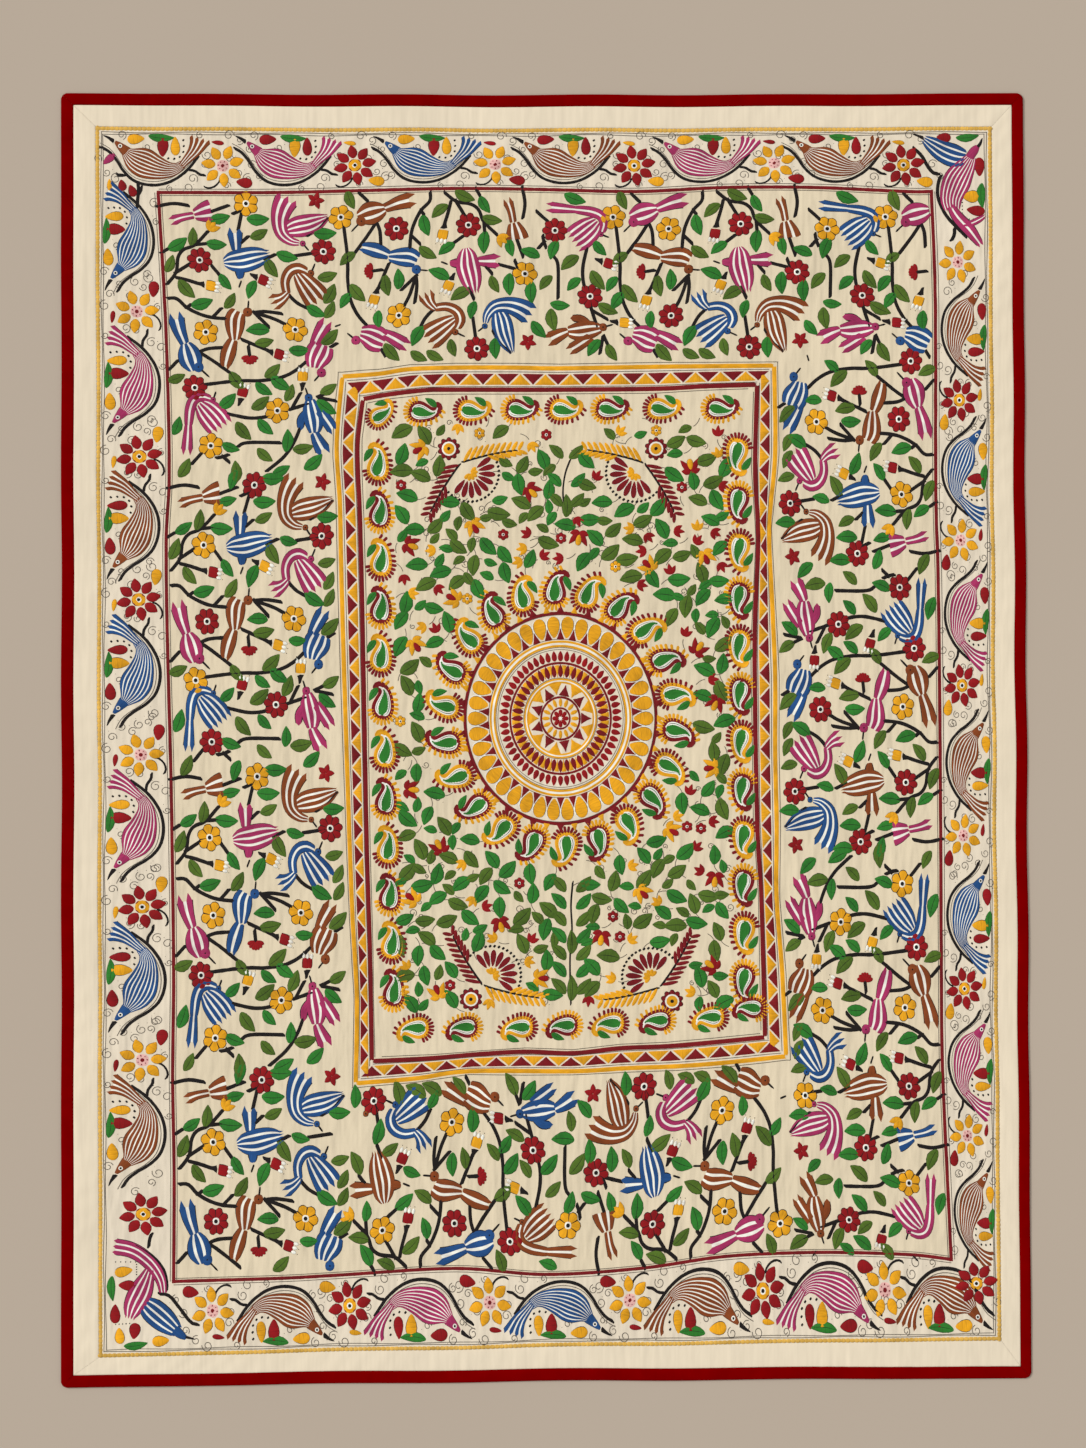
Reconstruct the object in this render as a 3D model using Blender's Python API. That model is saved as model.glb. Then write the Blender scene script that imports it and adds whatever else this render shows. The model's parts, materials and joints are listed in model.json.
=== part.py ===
"""A quilted and embroidered bedspread, about 1.8 m by 2.4 m, laid flat with its face up.

It is sewn from nine pieces: the embroidered panel, a margin of four strips with mitred corners round it, and
a binding of four tape strips, mitred too, round the margin. Each piece is one closed solid with a flat
underside at z = 0 and a gently uneven face. Lengths are in metres. +X runs to the right and +Y to the head
end, and the origin is under the middle of the cloth.
"""

import math

import bmesh
import bpy
import numpy as np

# The three closed lines that bound the pieces. Corners: head left, head right, foot right, foot left.
# The cloth isn't square: its right side leans out and its foot end rises to the right.
LINES = {
    "outer edge": ((-0.904, 1.206), (0.888, 1.206), (0.904, -1.188), (-0.904, -1.206)),
    "binding seam": ((-0.881, 1.184), (0.867, 1.184), (0.884, -1.166), (-0.881, -1.183)),
    "margin seam": ((-0.839, 1.143), (0.829, 1.143), (0.847, -1.117), (-0.833, -1.149)),
}

# The sides run clockwise from the head left corner. Columns: the corner that the side starts at, how far its
# middle is drawn in, how far its ripples stand to each side of that, how many ripples it has.
SIDES = {
    "head": (0, 0.0035, 0.0010, 5),
    "right": (1, 0.0010, 0.0012, 7),
    "foot": (2, 0.0035, 0.0012, 4),
    "left": (3, 0.0009, 0.0009, 6),
}

PANEL_HEIGHT = 0.0030
MARGIN_HEIGHT = 0.0026
BINDING_HEIGHT = 0.0040
SEAM_GAP = 0.0003

# The waves of the face. Columns: wavelength along X, wavelength along Y, height of the wave, start angle.
# The first three are the cloth's long waves. The last two are the short puckers that show in its margins.
FACE_WAVES = (
    (0.62, 1.90, 0.00026, 0.4),
    (-1.50, 0.47, 0.00020, 3.1),
    (0.90, 0.70, 0.00016, 5.0),
    (0.19, -1.60, 0.00028, 1.9),
    (1.40, 0.21, 0.00028, 4.2),
)

# Sections across the strips. Columns: place from the outer line (0) to the inner one (1), share of the height.
MARGIN_SECTION = ((0.0, 0.0), (0.0, 0.94), (0.33, 1.02), (0.67, 1.0), (1.0, 0.94), (1.0, 0.0))
BINDING_SECTION = ((0.06, 0.0), (0.0, 0.42), (0.07, 0.84), (0.30, 1.0), (0.78, 0.98), (1.0, 0.66), (1.0, 0.0))

PANEL_STEP = 0.042
STRIP_STEP = 0.036
SHARP_ANGLE = math.radians(50)

CREAM_COTTON = (229, 214, 190)
EMBROIDERED_COTTON = (214, 196, 168)
DARK_RED_TAPE = (118, 4, 4)


def linear(value):
    """The linear value of an 8-bit sRGB channel."""
    share = value / 255
    return share / 12.92 if share <= 0.04045 else ((share + 0.055) / 1.055) ** 2.4


def fabric(name, colour, roughness):
    """A Principled material of dyed cotton."""
    material = bpy.data.materials.new(name)
    material.use_nodes = True
    shader = material.node_tree.nodes["Principled BSDF"]
    shader.inputs["Base Color"].default_value = (*map(linear, colour), 1)
    shader.inputs["Roughness"].default_value = roughness
    shader.inputs["Metallic"].default_value = 0
    return material


def side_points(line, side, along):
    """Points of one side of a line: the straight run between its corners, drawn in by half a sine and rippled."""
    first, drawn_in, ripple, ripples = SIDES[side]
    corners = np.array(LINES[line])
    start, end = corners[first], corners[(first + 1) % 4]
    run = end - start
    inward = np.array((run[1], -run[0])) / np.hypot(*run)
    bulge = np.sin(np.pi * along)
    offset = bulge * (drawn_in + ripple * np.sin(2 * np.pi * ripples * along + first))
    return start + along[:, None] * run + offset[:, None] * inward


def face_wave(x, y):
    """How far the face lies above or below its mean height: a sum of a few long plane waves."""
    total = np.zeros_like(x)
    for length_x, length_y, height, start in FACE_WAVES:
        total += height * np.sin(2 * np.pi * (x / length_x + y / length_y) + start)
    return total


def side_length(line, side):
    """The straight length between the corners of a side."""
    first = SIDES[side][0]
    corners = LINES[line]
    return math.dist(corners[first], corners[(first + 1) % 4])


def add_solid(name, points, faces, material):
    """Makes an object of the points and faces, with its faces turned outwards."""
    mesh = bpy.data.meshes.new(name)
    mesh.from_pydata(points, [], faces)
    work = bmesh.new()
    work.from_mesh(mesh)
    bmesh.ops.recalc_face_normals(work, faces=work.faces)
    work.to_mesh(mesh)
    work.free()
    mesh.materials.append(material)
    mesh.shade_smooth()
    mesh.set_sharp_from_angle(angle=SHARP_ANGLE)
    solid = bpy.data.objects.new(name, mesh)
    bpy.context.collection.objects.link(solid)
    return solid


def add_strip(name, side, outer, inner, height, section, material):
    """Carries a section along one side between two lines. Its ends lie on the diagonals of the mitres."""
    length = side_length(outer, side)
    steps = round(length / STRIP_STEP)
    mitre_gap = SEAM_GAP / math.sqrt(2) / length
    along = np.linspace(mitre_gap, 1 - mitre_gap, steps + 1)
    outside = side_points(outer, side, along)
    inside = side_points(inner, side, along)
    width = np.linalg.norm(outside[steps // 2] - inside[steps // 2])
    seam = SEAM_GAP / 2 / width
    first_place = 0 if outer == "outer edge" else seam
    rows = []
    for place, share in section:
        across = first_place + place * (1 - seam - first_place)
        flat = outside + across * (inside - outside)
        lift = share * (height + face_wave(flat[:, 0], flat[:, 1]))
        rows.append(np.column_stack((flat, lift)))
    points = np.stack(rows, axis=1)
    around = len(section)
    faces = []
    for step in range(steps):
        for corner in range(around):
            following = (corner + 1) % around
            near, far = step * around, (step + 1) * around
            faces.append((near + corner, near + following, far + following, far + corner))
    faces.append(tuple(range(around)))
    faces.append(tuple(steps * around + corner for corner in reversed(range(around))))
    return add_solid(name, points.reshape(-1, 3).tolist(), faces, material)


def panel_grid(across, up):
    """A patch between the four sides of the margin seam: both pairs of opposite sides blended, less the
    blend of the corners, which would count twice."""
    head = side_points("margin seam", "head", across)
    foot = side_points("margin seam", "foot", 1 - across)
    right = side_points("margin seam", "right", 1 - up)
    left = side_points("margin seam", "left", up)
    head_left, head_right, foot_right, foot_left = np.array(LINES["margin seam"])
    u = across[None, :, None]
    v = up[:, None, None]
    between_ends = (1 - v) * foot[None] + v * head[None]
    between_sides = (1 - u) * left[:, None] + u * right[:, None]
    corners = (1 - v) * ((1 - u) * foot_left + u * foot_right) + v * ((1 - u) * head_left + u * head_right)
    return between_ends + between_sides - corners


def add_panel(name, height, material):
    """The embroidered panel: a gridded face with the long waves, upright sides and one flat underside."""
    width, length = side_length("margin seam", "head"), side_length("margin seam", "left")
    columns, rows = round(width / PANEL_STEP), round(length / PANEL_STEP)
    across = np.linspace(SEAM_GAP / 2 / width, 1 - SEAM_GAP / 2 / width, columns + 1)
    up = np.linspace(SEAM_GAP / 2 / length, 1 - SEAM_GAP / 2 / length, rows + 1)
    flat = panel_grid(across, up)
    lift = height + face_wave(flat[..., 0], flat[..., 1])
    top = np.concatenate((flat, lift[..., None]), axis=2).reshape(-1, 3)
    index = np.arange(len(top)).reshape(rows + 1, columns + 1)
    faces = np.stack((index[:-1, :-1], index[:-1, 1:], index[1:, 1:], index[1:, :-1]), axis=2).reshape(-1, 4)
    rim = np.concatenate((index[0, :-1], index[:-1, -1], index[-1, :0:-1], index[:0:-1, 0]))
    base = top[rim] * (1, 1, 0)
    under = np.arange(len(rim)) + len(top)
    walls = np.stack((rim, np.roll(rim, -1), np.roll(under, -1), under), axis=1)
    points = np.concatenate((top, base)).tolist()
    return add_solid(name, points, [*faces.tolist(), *walls.tolist(), under.tolist()], material)


def main():
    for old in list(bpy.data.objects):
        bpy.data.objects.remove(old, do_unlink=True)
    cream = fabric("cream cotton", CREAM_COTTON, 0.9)
    embroidered = fabric("embroidered cotton", EMBROIDERED_COTTON, 0.85)
    tape = fabric("dark red cotton tape", DARK_RED_TAPE, 0.8)
    add_panel("quilt_panel", PANEL_HEIGHT, embroidered)
    for side in SIDES:
        add_strip(f"margin_{side}", side, "binding seam", "margin seam", MARGIN_HEIGHT, MARGIN_SECTION, cream)
        add_strip(f"binding_{side}", side, "outer edge", "binding seam", BINDING_HEIGHT, BINDING_SECTION, tape)


main()
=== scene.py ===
"""The looks of a quilted cotton bedspread, embroidered with flowers, birds and leaves and laid flat.

The sheets of cloth lie on the frame's own lines and heights. The embroidery is surfaces worked out on grids:
each motif is drawn in the squares of a pattern chart, carried to its place on the cloth, and raised by a
thread's thickness. Lengths are in metres, and in squares of the chart where a name or a comment says so.
"""

import json
import math

import bpy
import numpy as np
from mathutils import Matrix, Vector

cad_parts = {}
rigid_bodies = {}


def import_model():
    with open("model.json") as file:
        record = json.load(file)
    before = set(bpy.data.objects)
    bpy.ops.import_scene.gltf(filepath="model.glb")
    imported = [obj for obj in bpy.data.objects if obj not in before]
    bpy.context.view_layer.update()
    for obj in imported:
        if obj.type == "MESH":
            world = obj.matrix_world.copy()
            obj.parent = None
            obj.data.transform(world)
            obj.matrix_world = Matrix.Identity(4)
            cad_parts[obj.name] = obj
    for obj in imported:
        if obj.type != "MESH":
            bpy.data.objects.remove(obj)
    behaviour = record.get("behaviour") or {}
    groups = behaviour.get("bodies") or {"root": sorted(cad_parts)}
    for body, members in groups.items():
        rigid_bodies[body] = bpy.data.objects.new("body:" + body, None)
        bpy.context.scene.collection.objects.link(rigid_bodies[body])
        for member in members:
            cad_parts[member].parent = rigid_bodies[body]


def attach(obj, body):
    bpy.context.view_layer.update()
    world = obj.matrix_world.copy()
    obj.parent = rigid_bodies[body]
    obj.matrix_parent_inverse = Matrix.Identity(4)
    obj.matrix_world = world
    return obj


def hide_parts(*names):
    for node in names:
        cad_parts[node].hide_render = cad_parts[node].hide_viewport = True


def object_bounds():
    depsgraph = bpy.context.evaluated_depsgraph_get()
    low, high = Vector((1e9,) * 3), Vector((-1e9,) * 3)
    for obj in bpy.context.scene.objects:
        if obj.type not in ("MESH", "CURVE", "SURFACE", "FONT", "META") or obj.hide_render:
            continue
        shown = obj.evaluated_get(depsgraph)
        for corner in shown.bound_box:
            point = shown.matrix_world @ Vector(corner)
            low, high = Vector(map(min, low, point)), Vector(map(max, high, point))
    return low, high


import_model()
CAD_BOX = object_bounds()

bl_info = {
    "name": "Embroidered Bedspread",
    "version": (1, 0, 0),
    "blender": (4, 5, 0),
    "location": "3D View > Sidebar > Bedspread",
    "description": "Lays a quilted bedspread and stitches its border, field and central panel",
    "category": "Object",
}

MM = 0.001
TURN = 2 * math.pi

# One square of the pattern chart, and the square over the middle of the cloth, counted right and down.
SQUARES_ACROSS = 970
SQUARE = (CAD_BOX[1][0] - CAD_BOX[0][0]) / SQUARES_ACROSS
CHART_MIDDLE = np.array((546.25, 740.5))

# The closed lines that bound the sheets. Corners: head left, head right, foot right, foot left.
LINES = {
    "outer edge": ((-0.904, 1.206), (0.888, 1.206), (0.904, -1.188), (-0.904, -1.206)),
    "binding seam": ((-0.881, 1.184), (0.867, 1.184), (0.884, -1.166), (-0.881, -1.183)),
    "margin seam": ((-0.839, 1.143), (0.829, 1.143), (0.847, -1.117), (-0.833, -1.149)),
}

# The sides run clockwise from the head left corner. Columns: the corner that the side starts at, how far its
# middle is drawn in, how far its ripples stand to each side of that, how many ripples it has.
SIDES = {
    "head": (0, 0.0035, 0.0010, 5),
    "right": (1, 0.0010, 0.0012, 7),
    "foot": (2, 0.0035, 0.0012, 4),
    "left": (3, 0.0009, 0.0009, 6),
}

PANEL_HEIGHT = 3.0 * MM
MARGIN_HEIGHT = 2.6 * MM
BINDING_HEIGHT = 4.0 * MM
SEAM_GAP = 0.3 * MM
CORNER_ROUNDING = 12 * MM

# How far the panel's edge and the strips' mitred ends are drawn down by their seams.
SEAM_DIP = 0.8 * MM
MITRE_DIP = 0.6 * MM

# The long waves of the face. Columns: wavelength along X, wavelength along Y, height, start angle.
FACE_WAVES = (
    (0.62, 1.90, 0.00026, 0.4),
    (-1.50, 0.47, 0.00020, 3.1),
    (0.90, 0.70, 0.00016, 5.0),
    (0.19, -1.60, 0.00028, 1.9),
    (1.40, 0.21, 0.00028, 4.2),
)

# Sections across the strips, from the outer line (0) to the inner one (1), with the share of the height.
MARGIN_SECTION = (
    (0.0, 0.0), (0.0, 0.62), (0.02, 0.86), (0.06, 0.95), (0.18, 1.0), (0.33, 1.02), (0.50, 1.02),
    (0.67, 1.01), (0.82, 0.99), (0.94, 0.95), (0.98, 0.86), (1.0, 0.62), (1.0, 0.0),
)
BINDING_SECTION = (
    (0.05, 0.0), (0.01, 0.16), (0.0, 0.42), (0.02, 0.68), (0.08, 0.88), (0.18, 0.98), (0.34, 1.02),
    (0.55, 1.02), (0.74, 0.98), (0.88, 0.90), (0.95, 0.78), (0.99, 0.62), (1.0, 0.40), (1.0, 0.0),
)

# How far a stitched shape, a thin line and a hairline stand above the cloth, how far an edge is drawn into it,
# and how many turns a curl has.
STITCH_RISE = 0.9 * MM
LINE_RISE = 0.5 * MM
HAIRLINE_RISE = 0.35 * MM
EDGE_SUNK = 0.25 * MM
CURL_TURNS = 1.2

# How far apart the quilting's puckers are, across the cloth and along it, and the strips' ripples.
PUCKER_WIDTH = 34 * MM
PUCKER_LENGTH = 88 * MM
RIPPLE_LENGTH = 52 * MM


def linear(hex_colour):
    """The linear red, green and blue of an sRGB hex colour."""
    values = [int(hex_colour[start:start + 2], 16) / 255 for start in (1, 3, 5)]
    return [v / 12.92 if v <= 0.04045 else ((v + 0.055) / 1.055) ** 2.4 for v in values]


def colour_property(name, hex_colour, description):
    """A dye, given as an sRGB hex colour."""
    return bpy.props.FloatVectorProperty(
        name=name, description=description, subtype="COLOR", default=linear(hex_colour), min=0, max=1,
    )


def length_property(name, default, description):
    """A length in metres."""
    return bpy.props.FloatProperty(
        name=name, description=description, subtype="DISTANCE", unit="LENGTH", default=default, min=0,
    )


class BedspreadColours(bpy.types.PropertyGroup):
    """The dyes of the cloth and of the embroidery threads."""

    tape: colour_property("Tape", "#780001", "The binding's dark red cotton tape")
    margin: colour_property("Margin", "#E6D7BD", "The plain cream cotton margin")
    field: colour_property("Field", "#DFCFB1", "The cream cotton under the embroidery")
    band: colour_property("Band", "#E3D5BE", "The whiter, closely quilted ground of the bands")
    crimson: colour_property("Crimson", "#8B0C12", "The red of flowers and buds")
    maroon: colour_property("Maroon", "#741016", "The dark red of lines and paisleys")
    yellow: colour_property("Yellow", "#DE9C17", "The yellow of flowers and drops")
    gold: colour_property("Gold", "#D6A84C", "The chain-stitched line inside the margin")
    green: colour_property("Green", "#2A7326", "The bright green of leaves")
    olive: colour_property("Olive", "#4B651E", "The olive green of leaves")
    blue: colour_property("Blue", "#1E487C", "The blue of birds")
    magenta: colour_property("Magenta", "#A02C5A", "The pink of birds")
    brown: colour_property("Brown", "#803E18", "The brown of birds")
    ink: colour_property("Ink", "#181210", "The black of stems and outlines")
    blush: colour_property("Blush", "#E3AFA6", "The pale pink in the middle of yellow flowers")
    white: colour_property("White", "#F2E7D8", "The white between the stripes")
    grey: colour_property("Grey", "#5A5147", "The grey of the hairlines")


class BedspreadSizes(bpy.types.PropertyGroup):
    """The sizes that a user would change."""

    ground_step: length_property("Ground step", 9 * MM, "How far apart the points of the cloth are")
    pucker: length_property("Pucker height", 0.24 * MM, "How high the quilting draws up the cloth")
    stem_width: length_property("Stem width", 8.6 * MM, "The width of the black stems")
    hairline_width: length_property("Hairline width", 1.15 * MM, "The width of a line of one thread")
    chain_pitch: length_property("Chain pitch", 8.5 * MM, "The length of a link of the gold chain stitch")
    chain_width: length_property("Chain width", 7.8 * MM, "The width of the gold chain stitch")
    camera_height: length_property("Camera height", 6.0, "How far the camera is above the cloth")


def colours():
    """The dyes, as the user has set them."""
    return bpy.context.scene.bedspread_colours


def sizes():
    """The sizes, as the user has set them."""
    return bpy.context.scene.bedspread_sizes


def side_run(line, side):
    """Where a side of a line starts, its run to the next corner, and the direction square to it, inwards."""
    corners = np.array(LINES[line])
    first = SIDES[side][0]
    run = corners[(first + 1) % 4] - corners[first]
    return corners[first], run, np.array((run[1], -run[0])) / np.hypot(*run)


def side_points(line, side, along):
    """Points of one side of a line: the straight run between its corners, drawn in by half a sine and
    rippled by a finer one."""
    first, drawn_in, ripple, ripples = SIDES[side]
    start, run, inward = side_run(line, side)
    bulge = np.sin(np.pi * along)
    offset = bulge * (drawn_in + ripple * np.sin(TURN * ripples * along + first))
    return start + along[..., None] * run + offset[..., None] * inward


def side_length(line, side):
    """The straight length between the corners of a side."""
    return math.hypot(*side_run(line, side)[1])


def face_wave(x, y):
    """How far the face lies above or below its mean height: a sum of a few long plane waves."""
    total = np.zeros_like(x)
    for length_x, length_y, height, start in FACE_WAVES:
        total += height * np.sin(TURN * (x / length_x + y / length_y) + start)
    return total


def cloth_top(x, y):
    """The panel's face: its height, the long waves, and the small puckers that its quilting draws up, which
    are the product of two sines whose crests wander by a slower sine."""
    across = np.sin(TURN * x / PUCKER_WIDTH + 1.3 * np.sin(TURN * y / 0.21))
    down = np.cos(TURN * y / PUCKER_LENGTH + 1.1 * np.sin(TURN * x / 0.15))
    return PANEL_HEIGHT + face_wave(x, y) + sizes().pucker * across * down


# How the motifs are carried to the cloth.

def chart_place(points):
    """Squares of the chart, counted right and down, as metres on the cloth."""
    return (points - CHART_MIDDLE) * (SQUARE, -SQUARE)


def chart_of(points):
    """Metres on the cloth as squares of the chart."""
    return points / (SQUARE, -SQUARE) + CHART_MIDDLE


def side_pair(side, along, across):
    """Squares along a side and across it, as the chart's squares right and down."""
    return np.stack((across, along) if side in ("left", "right") else (along, across), axis=-1)


# The dark red line round the field, side by side. Each row is a point: where along the side, then across it.
RED_LINE = {
    "head": ((159, 193), (275, 193), (365, 191), (455, 189), (545, 190), (635, 192), (725, 188), (815, 188),
             (905, 192), (931, 192)),
    "right": ((192, 931), (300, 935), (490, 935.5), (585, 938), (775, 940), (965, 941), (1060, 942),
              (1155, 946), (1259, 951)),
    "foot": ((174, 1281), (278, 1278), (335, 1275), (455, 1268), (545, 1274), (640, 1268), (725, 1256),
             (815, 1252), (905, 1254), (951, 1259)),
    "left": ((193, 158.5), (302, 165), (399, 168.5), (480, 169.5), (545, 166.5), (650, 168), (765, 171),
             (884, 173), (981, 174), (1078, 173), (1175, 174.5), (1281, 174)),
}

# The outer and inner lines of the frame round the central panel, in the same way.
GOLD_FRAME = {
    "head": ((342, 377), (380, 374), (410, 369.5), (455, 368), (515, 368), (560, 368.7), (665, 367),
             (774, 366)),
    "right": ((366, 774), (454, 775), (528, 769), (602, 772), (676, 775), (750, 775), (824, 776.5),
              (898, 776.5), (972, 782), (1056, 786)),
    "foot": ((356, 1083), (417, 1078), (469, 1071), (573, 1071), (625, 1068), (677, 1066), (729, 1062),
             (786, 1056)),
    "left": ((377, 342.5), (425, 338), (455, 337), (500, 340), (545, 341), (590, 342), (694, 345), (846, 350),
             (922, 353), (998, 357), (1083, 356)),
}
INNER_FRAME = {
    "head": ((363, 399.5), (387, 395), (425, 390.5), (455, 390), (555, 390), (657, 389), (704, 386.6),
             (757, 385)),
    "right": ((385, 757), (470, 755), (540, 758), (645, 754.5), (820, 757), (890, 761), (960, 763),
              (1037, 765)),
    "foot": ((372, 1061), (432, 1058), (479, 1054), (526, 1051.5), (573, 1053), (620, 1048), (667, 1046),
             (714, 1042), (765, 1037)),
    "left": ((399.5, 363), (440, 358), (470, 358), (515, 360), (590, 362), (694, 364), (850, 367), (950, 370),
             (1061, 372)),
}

# The medallion is drawn round, in squares from its middle, and stretched down the cloth.
MEDALLION_MIDDLE = np.array((560.5, 718.5))
MEDALLION_RADIUS = 95.5
MEDALLION_STRETCH = 1.1

# Which way each side of the field is worked: along its length, and in from the red line.
FIELD_TURNS = {"left": (1, 1), "head": (-1, 1), "right": (-1, -1), "foot": (1, -1)}


def line_depth(line, side, along):
    """How far across the chart a line lies at places along its side."""
    table = np.array(line[side])
    return np.interp(along, table[:, 0], table[:, 1])


# How deep the border band is drawn. It is fitted to the room between the gold line and the dark red one.
BORDER_DEPTH = 66


def border_place(side, start, fitted=True):
    """A place in the border band: squares along its side from the start, and squares in from the gold line,
    measured square to that side. A fitted band's depth is stretched to reach the dark red line."""
    length = side_length("margin seam", side)
    inward = side_run("margin seam", side)[2]

    def place(points):
        edge = side_points("margin seam", side, (points[..., 0] + start) * SQUARE / length)
        chart = chart_of(edge)
        along, across = np.moveaxis(side_pair(side, chart[..., 0], chart[..., 1]), -1, 0)
        room = abs(line_depth(RED_LINE, side, along) - across)
        stretch = room / BORDER_DEPTH if fitted else np.ones_like(room)
        return edge + points[..., 1:] * stretch[..., None] * SQUARE * inward
    return place


def field_place(side, start, stretch, depth_stretch, shift):
    """A place in a block of the field: squares in from the red line, and squares along it from the start."""
    forward, inward = FIELD_TURNS[side]

    def place(points):
        along = start + forward * stretch * points[..., 1]
        across = line_depth(RED_LINE, side, along) + inward * (depth_stretch * points[..., 0] + shift)
        return chart_place(side_pair(side, along, across))
    return place


def frame_path(side, along, share):
    """Squares of the chart in the central frame: at places along the side, a share of the way from its gold
    line to its dark red one."""
    across = (1 - share) * line_depth(GOLD_FRAME, side, along) + share * line_depth(INNER_FRAME, side, along)
    return side_pair(side, along, across)


def frame_place(side):
    """A place in the central frame: squares along the side, and the share of the way across the frame."""
    def place(points):
        return chart_place(frame_path(side, points[..., 0], points[..., 1]))
    return place


def turned_place(middle, angle, size=1.0, stretch=1.0, mirrored=False):
    """A place in a motif drawn about its own middle: sized, turned, and set down on the chart."""
    cosine, sine = math.cos(angle), math.sin(angle)

    def place(points):
        across = points[..., 0] * size
        down = points[..., 1] * (-size if mirrored else size)
        right = middle[0] + across * cosine - down * sine
        below = middle[1] + (across * sine + down * cosine) * stretch
        return chart_place(np.stack((right, below), axis=-1))
    return place


class Needlework:
    """Stitched shapes, each one or more grids of points, gathered into one mesh with a slot for each thread."""

    def __init__(self, place=chart_place):
        self.place = place
        self.points = []
        self.marks = []
        self.faces = []
        self.threads = []
        self.count = 0

    def lay(self, flat, lift, threads, marks, wrap=False):
        """Adds grids. flat holds their points on the chart by row and column, lift how far they stand above the
        cloth, threads the thread of each face, and marks the run of the thread in metres, for the materials. A
        wrapped grid joins its last column to its first."""
        rows, columns = flat.shape[-3:-1]
        ground = self.place(flat)
        height = cloth_top(ground[..., 0], ground[..., 1]) + lift
        points = np.concatenate((ground, height[..., None]), axis=-1).reshape(-1, 3)
        index = self.count + np.arange(len(points)).reshape(-1, rows, columns)
        if wrap:
            index = np.concatenate((index, index[..., :1]), axis=2)
        corners = (index[:, :-1, :-1], index[:, :-1, 1:], index[:, 1:, 1:], index[:, 1:, :-1])
        faces = np.stack(corners, axis=-1)
        shape = flat.shape[:-3] + faces.shape[1:3]
        self.points.append(points)
        self.marks.append(np.broadcast_to(marks, flat.shape).reshape(-1, 2))
        self.faces.append(faces.reshape(-1, 4))
        self.threads.append(np.broadcast_to(threads, shape).reshape(-1))
        self.count += len(points)

    def make(self, name):
        """One smooth-shaded mesh of everything gathered, its faces turned up and its threads as materials."""
        points = np.concatenate(self.points)
        faces = np.concatenate(self.faces)
        marks = np.concatenate(self.marks)
        names, slots = np.unique(np.concatenate(self.threads), return_inverse=True)
        first = points[faces[:, 2]] - points[faces[:, 0]]
        second = points[faces[:, 3]] - points[faces[:, 1]]
        downward = first[:, 0] * second[:, 1] < first[:, 1] * second[:, 0]
        faces[downward] = faces[downward, ::-1]
        mesh = bpy.data.meshes.new(name)
        mesh.vertices.add(len(points))
        mesh.vertices.foreach_set("co", points.ravel())
        mesh.loops.add(faces.size)
        mesh.loops.foreach_set("vertex_index", faces.ravel().astype(np.int32))
        mesh.polygons.add(len(faces))
        mesh.polygons.foreach_set("loop_start", np.arange(0, faces.size, 4, dtype=np.int32))
        mesh.polygons.foreach_set("material_index", slots.astype(np.int32))
        mesh.polygons.foreach_set("use_smooth", np.ones(len(faces), dtype=bool))
        mesh.update(calc_edges=True)
        run = mesh.uv_layers.new(name="thread run")
        run.data.foreach_set("uv", marks[faces.ravel()].ravel())
        for thread in names:
            mesh.materials.append(thread_material(str(thread)))
        piece = bpy.data.objects.new(name, mesh)
        bpy.context.collection.objects.link(piece)
        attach(piece, "root")
        return piece


def unit(angles):
    """Directions one square long, at angles that turn from right to down."""
    return np.stack((np.cos(angles), np.sin(angles)), axis=-1)


def square_to(run):
    """Directions one square long that are square to a run."""
    reach = np.maximum(np.hypot(run[..., 0], run[..., 1]), 1e-6)
    return np.stack((-run[..., 1], run[..., 0]), axis=-1) / reach[..., None]


def reach_along(path):
    """How far along a path each of its points lies: the running sum of the gaps."""
    return np.concatenate(([0], np.cumsum(np.hypot(*np.diff(path[:, :2], axis=0).T))))


def each(values, count):
    """One number for each of a count of shapes."""
    return np.broadcast_to(np.asarray(values, float), (count,))


def smooth_path(points, step):
    """A Catmull-Rom curve through the points, read at even steps. Further columns are carried along."""
    points = np.asarray(points, float)
    padded = np.vstack((2 * points[0] - points[1], points, 2 * points[-1] - points[-2]))[:, None]
    before, start, end, after = padded[:-3], padded[1:-2], padded[2:-1], padded[3:]
    t = np.linspace(0, 1, 9)[:-1, None]
    curve = start + 0.5 * t * (end - before + t * (2 * before - 5 * start + 4 * end - after
                               + t * (3 * start - before - 3 * end + after)))
    curve = np.vstack((curve.reshape(-1, points.shape[1]), points[-1:]))
    reach = reach_along(curve)
    even = np.linspace(0, reach[-1], max(3, round(reach[-1] / step) + 1))
    return np.stack([np.interp(even, reach, column) for column in curve.T], axis=1)


def across_bands(bands):
    """Where the columns of a striped band lie from edge to edge (-1 to 1), how high each is, and the thread of
    each strip. Every coloured stripe is full in its middle and low where it meets the next."""
    shares = np.array([share for _, share in bands])
    edges = np.concatenate(([0], np.cumsum(shares))) / shares.sum() * 2 - 1
    places, heights, threads = [-1.0], [0.45], []
    for (thread, _), start, end in zip(bands, edges, edges[1:]):
        if thread in ("white", "ink") and len(bands) > 1:
            places += [end]
            heights += [0.45]
            threads += [thread]
        else:
            places += [(start + end) / 2, end]
            heights += [1.0, 0.45]
            threads += [thread, thread]
    return np.array(places), np.array(heights), np.array(threads)


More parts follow.
